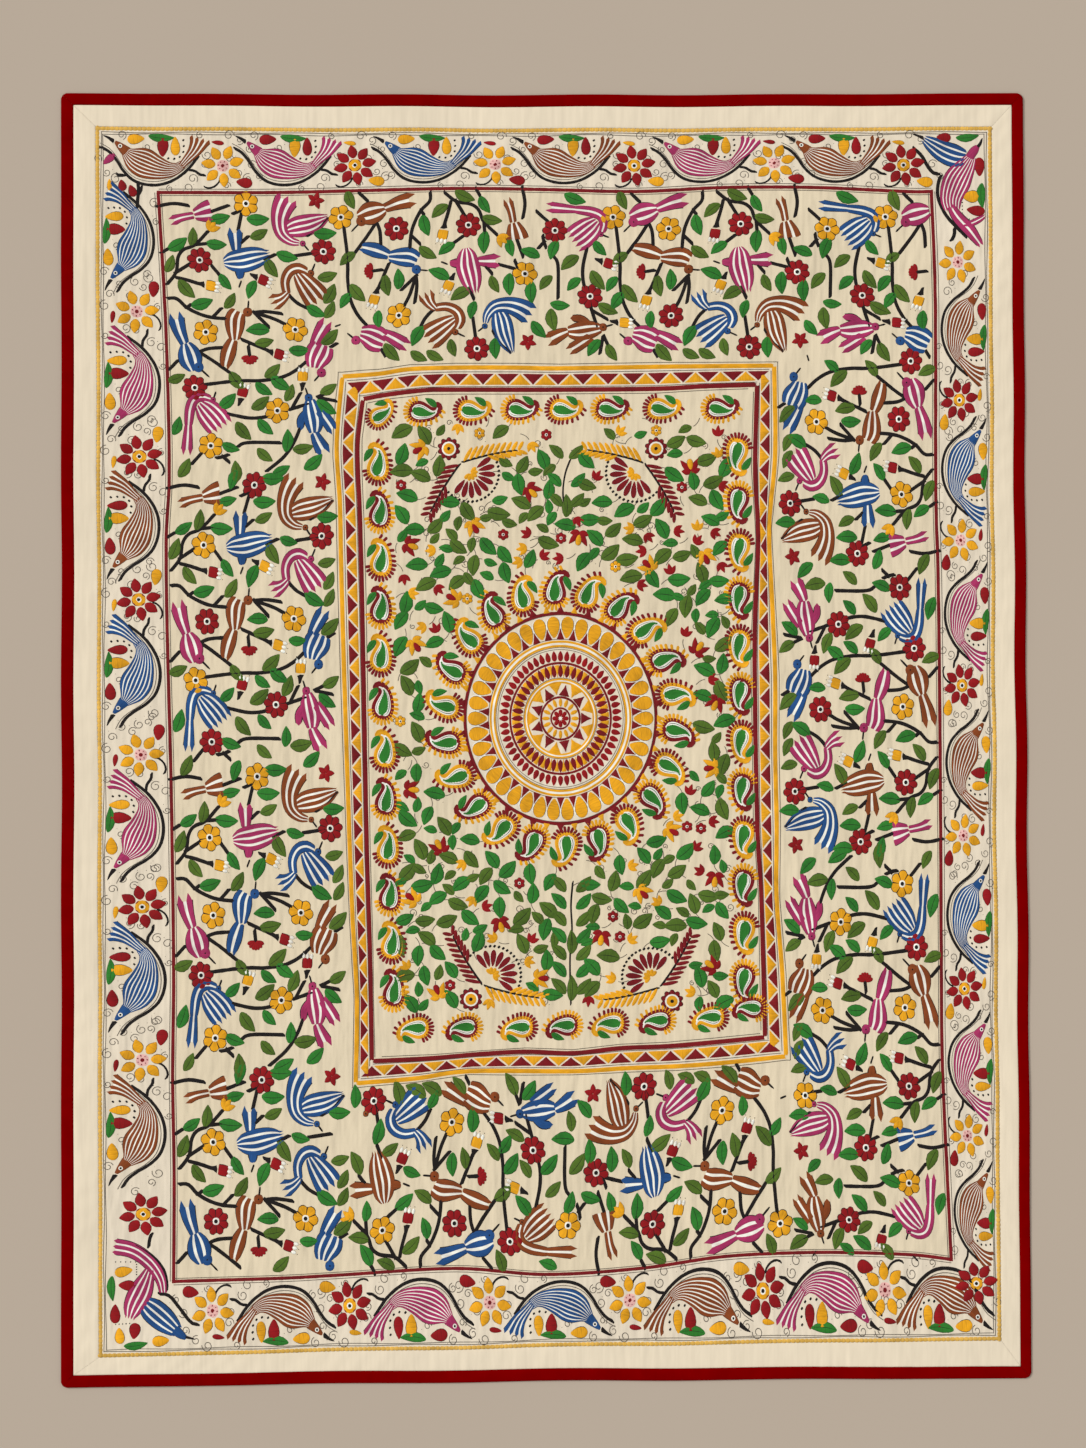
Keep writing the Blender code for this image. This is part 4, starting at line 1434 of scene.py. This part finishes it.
class BEDSPREAD_OT_field(bpy.types.Operator):
    """Stitches the field: birds, flowers, buds and leaves on black branches, in blocks that repeat"""

    bl_idname = "bedspread.field"
    bl_label = "Field"

    def execute(self, context):
        for side in FIELD_ZONES:
            works = {kind: Needlework() for kind in ("birds", "flowers", "leaves", "branches")}
            for block in FIELD_BLOCKS:
                if block[0] == side:
                    self.stitch_block(works, *block)
            for kind, work in works.items():
                work.make(f"field_{kind}_{side}")
        return {"FINISHED"}

    def stitch_block(self, works, side, start, end, stretch, depth_stretch, shift, flowers, birds, buds):
        """One block, less what would run past the next block or out of the side's zone."""
        place = field_place(side, start, stretch, depth_stretch, shift)
        for work in works.values():
            work.place = place
        low, high = FIELD_ZONES[side]
        forward = FIELD_TURNS[side][0]

        def fits(point, clear=KEEP_CLEAR):
            """Whether a place lies within the zone and short of the next block."""
            along = start + forward * stretch * point[1]
            return low + clear < along < high - clear and forward * (along - end) < -KEEP_CLEAR

        def off_frame(row, clear):
            """A motif's row, drawn back towards the red line where it would lie on the central frame."""
            along = start + forward * stretch * row[1]
            room = abs(line_depth(RED_LINE, side, along) - line_depth(GOLD_FRAME, side, along)) - clear
            return (min(row[0], (room - shift) / depth_stretch), *row[1:])

        for middle, letter in zip(FIELD_FLOWERS, flowers):
            if letter in FLOWER_THREADS and fits(middle):
                lobes = 8 if letter == "r" else 6
                seat = off_frame(middle, FLOWER_OFF_FRAME)
                rosettes(works["flowers"], [seat], FLOWER_RADIUS, lobes, FLOWER_THREADS[letter], turn=middle[0])
        kept = [off_frame(leaf, LEAF_OFF_FRAME) for leaf in FIELD_LEAVES if fits(leaf, LEAF_CLEAR)]
        angles = np.radians([leaf[2] for leaf in kept])
        threads = [LEAF_THREADS[leaf[3]] for leaf in kept]
        lengths = LEAF_LENGTH + LEAF_VARIES * np.sin(np.arange(len(kept)) * 2.4)
        leaves(works["leaves"], [leaf[:2] for leaf in kept], angles, lengths, lengths * LEAF_WIDTH_SHARE, threads)
        width = sizes().stem_width / SQUARE
        for branch in FIELD_BRANCHES:
            if fits(branch[0]) and fits(branch[-1]):
                line(works["branches"], lengthened(branch, 3.0), width, "ink")
        for bud, letter in zip(FIELD_BUDS, buds):
            tip = (bud[0], bud[1] + BUD_LENGTH * math.sin(math.radians(bud[2])))
            if fits(bud) and fits(tip):
                self.stitch_bud(works["flowers"], *bud, letter)
        self.stitch_small(works["flowers"], fits)
        for (bands, head, beak), letter in zip(FIELD_BIRDS, birds):
            bands = [band for band in bands if fits(band[2][0]) and fits(band[2][-1])]
            if not head or not fits(head):
                head = ()
            if not beak or not fits(beak[1]):
                beak = ()
            self.stitch_bird(works["birds"], BIRD_THREADS[letter], bands, head, beak)

    def stitch_bird(self, work, thread, bands, head, beak):
        """A bird of striped bands, with a round head and a black beak."""
        if beak:
            strokes(work, [head[:2] if head else beak[0]], [beak[1]], BEAK_WIDTH, "ink", STITCH_RISE)
        for count, fray, points in bands:
            ribbon(work, np.array(points) * (1, 1, 1.1), stripes(thread, count), fray=fray)
        if head:
            *middle, radius = head
            heap(work, [middle], ((radius + 0.6, "ink", 0.5, -0.25, FINE_GRID),
                                  (radius, thread, 1.08, 0.0, FINE_GRID),
                                  (0.9, "ink", 1.44, 1.08, SQUARE_GRID)))

    def stitch_bud(self, work, across, along, angle, letter):
        """A black cone with a bud in its mouth, white lips and three dotted stamens."""
        way = unit(math.radians(angle))
        root = np.array((across, along))
        base = root + 10 * way
        ribbon(work, ((*root, 1.4), (*(root + 5 * way), 2.6), (*base, 5.2)), (("ink", 1),), step=2)
        tip = base + 11 * way
        ribbon(work, ((*base, 5.2), (*(base + 5 * way), 5.8), (*tip, 5.2)),
               (("ink", 0.3), (FLOWER_THREADS[letter], 3), ("ink", 0.3)), step=2)
        fan = np.array((-4, 0, 4))[:, None] * square_to(way)
        petals(work, tip - 1.5 * way + fan, math.radians(angle), 5, 3.6, "white", seed_profile, OUTLINED)
        discs(work, tip + 5 * way + 1.2 * fan, 0.8, "ink", LINE_RISE)

    def stitch_small(self, work, fits):
        """The block's odd small flowers."""
        for root, angles, length, width, thread, profile in FIELD_SMALL:
            if fits(root):
                petals(work, [root] * len(angles), np.radians(angles), length, width, thread, profile)


TRIANGLE_PITCH = 25.3
# Columns: the share of the way across the frame, how far the hairline stops short of the gold line's ends.
FRAME_HAIRLINES = ((-0.2, -4), (0.19, 5), (0.86, 17), (1.2, 26))


class BEDSPREAD_OT_frame_band(bpy.types.Operator):
    """Stitches the frame of the central panel: a double gold line, rows of triangles and a double red line"""

    bl_idname = "bedspread.frame_band"
    bl_label = "Central frame"

    def execute(self, context):
        for side in SIDES:
            work = Needlework()
            for table, thread, half in ((GOLD_FRAME, "yellow", 2.5), (INNER_FRAME, "maroon", 2.6)):
                path = side_pair(side, *np.array(table[side], float).T)
                ribbon(work, [(*point, half) for point in path], ((thread, 1), (thread, 1)))
            work.make(f"frame_lines_{side}")
            self.stitch_triangles(side)
        return {"FINISHED"}

    def stitch_triangles(self, side):
        """Dark red triangles that stand on the gold line, yellow ones that hang between them, and hairlines."""
        work = Needlework(frame_place(side))
        table = np.array(GOLD_FRAME[side], float)
        upright = side in ("left", "right")
        inset = 28 if upright else 16
        low, high = table[0, 0] + inset, table[-1, 0] - inset
        count = round((high - low) / TRIANGLE_PITCH)
        pitch = (high - low) / count
        middles = low + pitch * np.arange(count + 1)
        between = low + pitch * (np.arange(count + 2 * upright) + 0.5 - upright)
        for place, thread, base, reach in ((middles, "maroon", 0.27, 0.50), (between, "yellow", 0.79, -0.50)):
            self.stitch_row(work, place, thread, base, reach, pitch * 0.94)
        fine = Needlework()
        for share, inset in FRAME_HAIRLINES:
            along = np.linspace(table[0, 0] + inset, table[-1, 0] - inset, 110)
            hairlines(fine, frame_path(side, along, share)[None])
        fine.make(f"frame_hairlines_{side}")
        work.make(f"frame_triangles_{side}")

    def stitch_row(self, work, places, thread, base, reach, width):
        """A row of triangles, each a grid whose rows narrow from the base to the point along hollow sides."""
        t = np.array((0, 0.06, 0.35, 0.68, 0.94, 1.0))
        half = width / 2 * np.maximum((1 - t) ** 1.1, 0.05)
        columns = np.array((-1, -0.8, 0, 0.8, 1))
        along = places[:, None, None] + half[:, None] * columns
        share = np.broadcast_to((base + reach * t)[:, None], along.shape)
        lift = np.broadcast_to(np.array((0, 0.7, 1, 0.7, 0)) * STITCH_RISE, along.shape).copy()
        lift[..., [0, -1]] = -EDGE_SUNK
        lift[:, [0, -1]] = -EDGE_SUNK
        flat = np.stack((along, share), axis=-1)
        marks = np.stack((share * 20, along), axis=-1) * SQUARE
        work.lay(flat, lift, thread, marks)


# A paisley in its own squares: the spines with half widths of its outline, of the white in it and of its core,
# each from the round end to the tail, then its leaf and the middle of its round back.
PAISLEY = (
    (-19, 1.0, 3.6), (-18, 1.1, 6.8), (-15.5, 1.4, 9.8), (-11, 1.8, 12.0), (-5, 2.2, 12.4), (2, 2.4, 10.4),
    (8, 1.6, 7.8), (12.8, -1.0, 5.6), (15.2, -4.8, 4.2), (14.0, -8.8, 3.0), (10.4, -10.6, 1.4),
)
PAISLEY_GAP = (
    (-14.8, 1.2, 2.3), (-14.2, 1.3, 4.3), (-12.4, 1.6, 6.4), (-9.4, 1.9, 7.9), (-4.6, 2.2, 8.1),
    (1.3, 2.6, 6.5), (6.8, 2.4, 4.2), (10.8, 0.8, 2.3), (13.0, -2.4, 1.1), (13.3, -5.2, 0.5),
)
PAISLEY_CORE = (
    (-13.7, 1.1, 1.9), (-13.0, 1.2, 3.6), (-11.3, 1.5, 5.4), (-8.3, 1.9, 6.8), (-4.1, 2.2, 6.9),
    (1.4, 2.7, 5.2), (6.2, 2.7, 3.1), (9.8, 1.5, 1.4), (11.6, 0.1, 0.6),
)
PAISLEY_LEAF = (5.5, -9.6, -150, 17, 8)
PAISLEY_BACK = (-7.2, 1.9)
# The threads of the outline and the fringe, which take turns along a row.
PAISLEY_THREADS = (("maroon", "yellow"), ("yellow", "maroon"))


def paisley(work, middle, angle, outline, fringe, size=1.0, stretch=1.0, mirrored=False):
    """A paisley: a curled drop with an outline, a white gap and a green core, a fringe of single stitches round
    its back, and a small leaf under its tail."""
    work.place = turned_place(middle, angle, size, stretch, mirrored)
    ways = unit(np.radians(np.linspace(100, 255, 11)))
    back = smooth_path(PAISLEY[4:9], 3.9)
    aside = square_to(np.gradient(back[:, :2], axis=0))
    rim = np.vstack((PAISLEY_BACK + 10 * ways, back[:, :2] + 0.75 * back[:, 2:] * aside))
    tips = np.vstack((PAISLEY_BACK + 17 * ways, back[:, :2] + (back[:, 2:] + 4.6) * aside))
    strokes(work, rim, tips, 3.9, fringe, STITCH_RISE)
    ribbon(work, PAISLEY, ((outline, 1), (outline, 8), (outline, 1)), step=2.4)
    ribbon(work, PAISLEY_GAP, (("white", 1),), STITCH_RISE * 1.2, step=2.4, edge=STITCH_RISE * 0.85)
    ribbon(work, PAISLEY_CORE, (("ink", 0.35), ("green", 5), ("ink", 0.35)), STITCH_RISE * 1.8, step=2.4,
           edge=STITCH_RISE * 1.28)
    across, down, turn, length, width = PAISLEY_LEAF
    leaves(work, [(across, down)], math.radians(turn), length, width, "green")


# The rows round the central panel. Columns: middle right, middle down, angle in degrees, size, stretch.
SIDE_DOWNS = np.linspace(462, 988, 12)
LEFT_MIDDLES = (377, 379, 380, 380, 380, 382, 384, 385, 387, 389, 391, 393)
RIGHT_MIDDLES = (738, 739, 740, 740, 740, 741, 742, 743, 744, 744, 745, 745)
TOP_MIDDLES = ((425, 411), (474.5, 410), (522, 409), (566, 409), (612, 408.5), (664, 408), (722, 408))
FOOT_MIDDLES = ((413, 1030), (462, 1029), (517, 1029), (562, 1027), (608, 1025), (655, 1022), (708, 1019))
PAISLEY_ROWS = {
    "top": [(*middle, 8, 0.9, 1.0) for middle in TOP_MIDDLES] + [(382, 413, -35, 0.8, 1.0)],
    "foot": [(*middle, 176, 0.9, 1.0) for middle in FOOT_MIDDLES] + [(748, 1009, 184, 0.86, 1.0)],
    "left": [(across, down, -82, 0.92, 1.1) for across, down in zip(LEFT_MIDDLES, SIDE_DOWNS)],
    "right": [(across, down - 5, 99, 0.92, 1.1) for across, down in zip(RIGHT_MIDDLES, SIDE_DOWNS)],
}


class BEDSPREAD_OT_paisleys(bpy.types.Operator):
    """Stitches the row of paisleys round the central panel, their colours taking turns"""

    bl_idname = "bedspread.paisleys"
    bl_label = "Paisleys"

    def execute(self, context):
        for row, items in PAISLEY_ROWS.items():
            work = Needlework()
            first = 0 if row == "top" else 1
            for number, (across, down, angle, size, stretch) in enumerate(items, first):
                threads = PAISLEY_THREADS[number % 2]
                paisley(work, (across, down), math.radians(angle), *threads, size, stretch)
            work.make(f"paisleys_{row}")
        return {"FINISHED"}


# The medallion's round lines. Columns: radius, width, the threads of its bands with their shares of the width.
RING_LINES = (
    (MEDALLION_RADIUS, 4.4, (("maroon", 1),)),
    (67.8, 6.6, (("yellow", 1), ("white", 0.8), ("yellow", 1))),
    (50.3, 3.0, (("maroon", 1),)),
    (34.2, 5.0, (("yellow", 1), ("white", 0.6), ("yellow", 1))),
    (19.3, 2.8, (("maroon", 1),)),
    (9.4, 2.4, (("maroon", 1),)),
    *((radius, 0.7, (("grey", 1),)) for radius in (94.0, 72.0, 64.4, 62.6, 36.8)),
)
# Its rings of petals, which point out from the middle, or in where the length is below nought. Columns: how
# many, radius of the roots, length, width, thread, profile, columns, how far the ring is turned, in petals.
PETAL_RINGS = (
    (38, 72.3, 20.5, 14.8, "yellow", drop_profile, WHITE_EDGED, 0),
    (38, 71.4, 10.5, 9.2, "maroon", spike_profile, PLAIN, 0.5),
    (22, 96.2, 8.0, 9.0, "maroon", spike_profile, PLAIN, 0.5),
    (22, 96.2, 8.0, 8.0, "yellow", spike_profile, PLAIN, 0),
    (56, 61.8, -9.8, 5.8, "crimson", drop_profile, PLAIN, 0),
    (40, 37.2, 12.0, 6.2, "maroon", leaf_profile, PLAIN, 0),
    (40, 48.6, -11.5, 5.6, "yellow", spike_profile, PLAIN, 0.5),
)
HUB_RINGS = (
    (9, 20.4, 10.5, 12.5, "maroon", spike_profile, PLAIN, 0),
    (9, 32.2, -10.5, 15.5, "yellow", spike_profile, PLAIN, 0.5),
    (16, 10.8, 7.4, 4.2, "yellow", seed_profile, PLAIN, 0),
    (8, 1.2, 7.0, 4.4, "crimson", drop_profile, PLAIN, 0),
)
RING_PAISLEYS = 22
RING_PAISLEY_RADIUS = 119


class BEDSPREAD_OT_medallion(bpy.types.Operator):
    """Stitches the medallion: rings of petals, seeds and points about a star, with paisleys round it"""

    bl_idname = "bedspread.medallion"
    bl_label = "Medallion"

    def execute(self, context):
        place = turned_place(MEDALLION_MIDDLE, 0, 1.0, MEDALLION_STRETCH)
        rings, petal_rings, hub = (Needlework(place) for _ in range(3))
        for radius, width, bands in RING_LINES:
            self.ring_line(rings, radius, width, bands)
        for work, table in ((petal_rings, PETAL_RINGS), (hub, HUB_RINGS)):
            for count, radius, length, width, thread, profile, columns, turned in table:
                angles = (np.arange(count) + turned) * TURN / count
                facing = angles if length > 0 else angles + np.pi
                petals(work, radius * unit(angles), facing, abs(length), width, thread, profile, columns)
        discs(hub, [(0, 0)], 1.6, "white", STITCH_RISE * 1.3, edge=STITCH_RISE)
        rings.make("medallion_rings")
        petal_rings.make("medallion_petals")
        hub.make("medallion_hub")
        self.surround()
        return {"FINISHED"}

    def ring_line(self, work, radius, width, bands):
        """A closed round line of stitches: its rows across the width, its columns round the circle."""
        places, heights, threads = across_bands(bands)
        count = max(24, round(radius * 1.7))
        angle = np.arange(count) * TURN / count
        radii = radius + places * width / 2
        ring = radii[:, None, None] * unit(angle)
        lift = heights * LINE_RISE * 1.4
        lift[[0, -1]] = -EDGE_SUNK
        marks = np.stack(np.broadcast_arrays(angle * radius, radii[:, None]), axis=-1) * SQUARE
        work.lay(ring, np.broadcast_to(lift[:, None], ring.shape[:-1]), threads[:, None], marks, wrap=True)

    def surround(self):
        """Paisleys that circle the medallion, their colours taking turns."""
        work = Needlework()
        for number in range(RING_PAISLEYS):
            angle = TURN * (number + 0.4) / RING_PAISLEYS
            middle = MEDALLION_MIDDLE + RING_PAISLEY_RADIUS * unit(angle) * (1, MEDALLION_STRETCH)
            paisley(work, middle, angle + math.radians(8), *PAISLEY_THREADS[number % 2], 0.97, mirrored=True)
        work.make("medallion_paisleys")


# The fans in the corners of the central panel: the middle, and which way its rays open, right and down.
FANS = (((470, 473), 1, 1), ((635, 473), -1, 1), ((492, 975), 1, -1), ((651, 977), -1, -1))
# From a fan's middle back to the elbow of its two arms, and from there to the round flower.
FAN_TO_ELBOW = (9, 10)
ELBOW_TO_FLOWER = (12, 14)
FLOWER_LAYERS = ((7.2, "white", 1.17, 0.9, FINE_GRID), (5.6, "yellow", 1.53, 1.17, FINE_GRID),
                 (1.9, "ink", 1.89, 1.53, SQUARE_GRID))

# The filling of the centre. Squares between large motifs, between leaves and between the smaller ones that fill
# what is left, and how far all stay from the medallion's middle.
LARGE_SPACING = 58
LEAF_SPACING = 17.6
SMALL_SPACING = 12.6
CENTRE_CLEAR = 143
# The part of the panel that is filled, by its head left and foot right corners, and how many places are tried.
CENTRE_FROM, CENTRE_TO = np.array((400, 430)), np.array((725, 1006))
THROWS = 9000
# How often each kind is drawn: green leaf, olive leaf, red bud, yellow bud, star.
LEAF_SHARES = (0.50, 0.41, 0.04, 0.03, 0.02)
SMALL_SHARES = (0.40, 0.32, 0.12, 0.09, 0.07)
CENTRE_LEAF_WIDTH_SHARE = 0.62


class BEDSPREAD_OT_centre(bpy.types.Operator):
    """Fills the central panel with fans, leafy stems, leaves, buds, stars and curls"""

    bl_idname = "bedspread.centre"
    bl_label = "Central filling"

    def execute(self, context):
        work = Needlework()
        for middle, right, down in FANS:
            self.stitch_fan(work, np.array(middle, float), right, down)
        work.make("centre_fans")
        self.stitch_filling()
        return {"FINISHED"}

    def stitch_fan(self, work, middle, right, down):
        """A half-round fan of red rays within a dotted rim, between two feathered arms that leave a rosette."""
        opening = math.atan2(down, right)
        rays = opening + np.linspace(-1.42, 1.42, 9)
        petals(work, middle + 8 * unit(rays), rays, 17.5, 6.6, "maroon", drop_profile, WHITE_EDGED)
        discs(work, middle + 29 * unit(opening + np.linspace(-1.62, 1.62, 22)), 2.1, "ink")
        inner = opening + np.linspace(-1.5, 1.5, 6)
        petals(work, middle + 0.5 * unit(inner), inner, 7.5, 4.2, "yellow", drop_profile, PLAIN)
        elbow = middle - np.multiply(FAN_TO_ELBOW, (right, down))
        self.stitch_target(work, elbow - np.multiply(ELBOW_TO_FLOWER, (right, down)))
        arms = ((math.atan2(-0.34 * down, right), "yellow"), (math.atan2(0.8 * down, -0.62 * right), "maroon"))
        for number, (heading, thread) in enumerate(arms):
            way = unit(heading)
            turned = right * down * (1, -1)[number]
            aside = square_to(way) * turned
            t = np.linspace(0.05, 0.97, 10)[:, None]
            spine = elbow + 60 * t * way + 7 * t ** 2 * aside
            line(work, np.vstack((elbow[None], spine)), 2.8, "ink", STITCH_RISE * 1.2)
            lengths = 17 - 7 * t[:, 0]
            for side in (-1, 1):
                lean = heading + side * 0.72
                start = 0 if side * turned < 0 else 4
                petals(work, spine[start:], lean, lengths[start:], 4.4, thread, seed_profile, PLAIN)

    def stitch_target(self, work, middle):
        """A round flower of rings: a red rim, a white ring and a yellow heart with a dark eye."""
        rosettes(work, [middle], 12, 10, "maroon")
        heap(work, [middle], FLOWER_LAYERS)

    def taken(self):
        """What the filling keeps clear of, as discs on the chart. Columns: right, down, radius."""
        clear = [(571, y, 13) for y in range(872, 1008, 9)]
        clear += [(566, y, 13) for y in range(436, 512, 9)]
        for middle, right, down in FANS:
            clear.append((middle[0] + 5 * right, middle[1] + 5 * down, 29))
            elbow = middle - np.multiply(FAN_TO_ELBOW, (right, down))
            clear.append((*(elbow - np.multiply(ELBOW_TO_FLOWER, (right, down))), 15))
            for reach in (15, 27, 39, 51, 62):
                clear.append((elbow[0] + right * reach * 0.94, elbow[1] - down * reach * 0.32, 11))
                clear.append((elbow[0] - right * reach * 0.61, elbow[1] + down * reach * 0.79, 11))
        return np.array(clear, float)

    def scatter(self, draw, spacing, clear, kept=(), inset=0):
        """Places in the central panel, found by throwing at random and keeping each that lies clear of the
        medallion, of the discs given, and of every place kept before it."""
        kept = list(kept)
        before = len(kept)
        throws = draw.uniform(CENTRE_FROM + inset, CENTRE_TO - inset, (THROWS, 2))
        for place in throws:
            if medallion_reach(place) < CENTRE_CLEAR + inset:
                continue
            gaps = np.hypot(clear[:, 0] - place[0], clear[:, 1] - place[1]) - clear[:, 2]
            if gaps.min() < spacing * 0.25:
                continue
            if kept and np.hypot(*(np.array(kept) - place).T).min() < spacing:
                continue
            kept.append(place)
        return np.array(kept[before:])

    def stitch_filling(self):
        """Leaves, buds and stars in a layout of their own, with stems through the middle at head and foot."""
        draw = np.random.default_rng(7)
        green, small, fine = Needlework(), Needlework(), Needlework()
        large = self.scatter(draw, LARGE_SPACING, self.taken(), inset=9)
        for number, (place, heading) in enumerate(zip(large, draw.uniform(0, TURN, len(large)))):
            thread = ("crimson", "yellow")[number % 2]
            self.stitch_tulip(small, place, heading, thread, OTHER[thread])
        clear = np.vstack((self.taken(), np.column_stack((large, np.full(len(large), 10.5)))))
        places = self.scatter(draw, LEAF_SPACING, clear)
        kinds = draw.choice(5, len(places), p=LEAF_SHARES)
        gaps = self.scatter(draw, SMALL_SPACING, clear, places)
        leaf_lengths = np.concatenate((draw.uniform(20.5, 24.5, len(places)), draw.uniform(14, 17, len(gaps))))
        places = np.concatenate((places, gaps))
        kinds = np.concatenate((kinds, draw.choice(5, len(gaps), p=SMALL_SHARES)))
        headings = draw.uniform(0, TURN, len(places))
        for kind, thread in ((0, "green"), (1, "olive")):
            chosen = kinds == kind
            lengths = leaf_lengths[chosen]
            widths = lengths * CENTRE_LEAF_WIDTH_SHARE
            leaves(green, places[chosen], headings[chosen], lengths, widths, thread)
        for kind, thread in ((2, "crimson"), (3, "yellow")):
            for place, heading in zip(places[kinds == kind], headings[kinds == kind]):
                self.stitch_bud(small, place, heading, thread)
        for number, place in enumerate(places[kinds == 4]):
            thread = ("crimson", "yellow", "crimson")[number % 3]
            rosettes(small, [place], 6.0, 6, thread)
        self.stitch_stems(green)
        curl_places = places[::2] + draw.uniform(-9, 9, (len(places[::2]), 2))
        curls(fine, curl_places, draw.uniform(2.2, 4.5, len(curl_places)), headings[::2])
        t = np.linspace(0, 1, 7)[:, None]
        reach, aside = unit(headings)[:, None], unit(headings + np.pi / 2)[:, None]
        tails = places[:, None] - reach * (9 + 9 * t) + aside * 5 * t ** 2
        hairlines(fine, tails)
        discs(fine, curl_places + (5, 4), 0.6, "ink", LINE_RISE)
        green.make("centre_leaves")
        small.make("centre_buds")
        fine.make("centre_curls")

    def stitch_tulip(self, work, place, heading, thread, heart):
        """A larger flower: two long petals and two short ones from one root, with a heart of the other
        colour."""
        way = unit(heading)
        root = place - 8 * way
        spread = heading + np.radians((-74, 74, -34, 34))
        petals(work, np.tile(root, (4, 1)), spread, (10, 10, 16.5, 16.5), 6.6, thread)
        petals(work, [root + 2 * way], heading, 12, 6.4, heart, drop_profile, rise=STITCH_RISE * 1.6)

    def stitch_bud(self, work, place, heading, thread):
        """A bud of three pointed petals that open from one root."""
        spread = heading + np.radians((-38, 0, 38))
        root = place - 6 * unit(heading)
        petals(work, np.tile(root, (3, 1)), spread, (10, 11.5, 10), 5.6, thread, leaf_profile, PLAIN)

    def stitch_stems(self, work):
        """The stems on the panel's middle line: leaves in pairs up a black stem, at the foot and at the
        head."""
        line(work, ((566, 512), (563, 495), (565, 475), (571, 458)), 2.4, "ink")
        line(work, ((571, 1006), (570, 960), (572, 930), (571, 905), (573, 880)), 2.4, "ink")
        rows = np.arange(7)
        for side in (-1, 1):
            places = np.stack((571 + side * 12.5 + 0 * rows, 986 - rows * 17.0), axis=1)
            leaves(work, places, -np.pi / 2 + side * 0.75, 22, 11.5, np.where(rows % 2, "green", "olive"))
            heads = np.stack((566 + side * np.array((11, 12, 10)), (500, 480, 452)), axis=1)
            leaves(work, heads, -np.pi / 2 + side * 0.8, 20, 10.5, ("olive", "green", "olive"))
        leaves(work, ((571, 988), (571, 942), (566, 506)), -np.pi / 2, (27, 25, 24), 12, "olive")


class BEDSPREAD_OT_panel(bpy.types.Operator):
    """Lays the quilted panel under its embroidery"""

    bl_idname = "bedspread.panel"
    bl_label = "Quilted panel"

    def execute(self, context):
        stitched = [piece for piece in context.scene.objects if "thread run" in getattr(
            getattr(piece, "data", None), "uv_layers", {})]
        sheet = make_panel()
        return {"FINISHED"}


OPERATORS = (
    BEDSPREAD_OT_stage, BEDSPREAD_OT_binding_and_margin, BEDSPREAD_OT_lines, BEDSPREAD_OT_border,
    BEDSPREAD_OT_field, BEDSPREAD_OT_frame_band, BEDSPREAD_OT_paisleys, BEDSPREAD_OT_medallion,
    BEDSPREAD_OT_centre, BEDSPREAD_OT_panel,
)


class BEDSPREAD_PT_sidebar(bpy.types.Panel):
    """The bedspread's colours, sizes and pieces"""

    bl_idname = "BEDSPREAD_PT_sidebar"
    bl_label = "Bedspread"
    bl_space_type = "VIEW_3D"
    bl_region_type = "UI"
    bl_category = "Bedspread"

    def draw(self, context):
        for group in (context.scene.bedspread_colours, context.scene.bedspread_sizes):
            for name in group.__annotations__:
                self.layout.prop(group, name)
        for operator in OPERATORS:
            self.layout.operator(operator.bl_idname)


CLASSES = (BedspreadColours, BedspreadSizes, *OPERATORS, BEDSPREAD_PT_sidebar)


def register():
    """Registers the classes, and hangs the dyes and the sizes on the scene."""
    for each in CLASSES:
        bpy.utils.register_class(each)
    bpy.types.Scene.bedspread_colours = bpy.props.PointerProperty(type=BedspreadColours)
    bpy.types.Scene.bedspread_sizes = bpy.props.PointerProperty(type=BedspreadSizes)


def unregister():
    """Takes away what register added."""
    del bpy.types.Scene.bedspread_sizes
    del bpy.types.Scene.bedspread_colours
    for each in reversed(CLASSES):
        bpy.utils.unregister_class(each)


def main():
    """Makes every piece in order."""
    register()
    for operator in OPERATORS:
        name = operator.bl_idname.split(".")[1]
        getattr(bpy.ops.bedspread, name)()


if __name__ == "__main__":
    main()
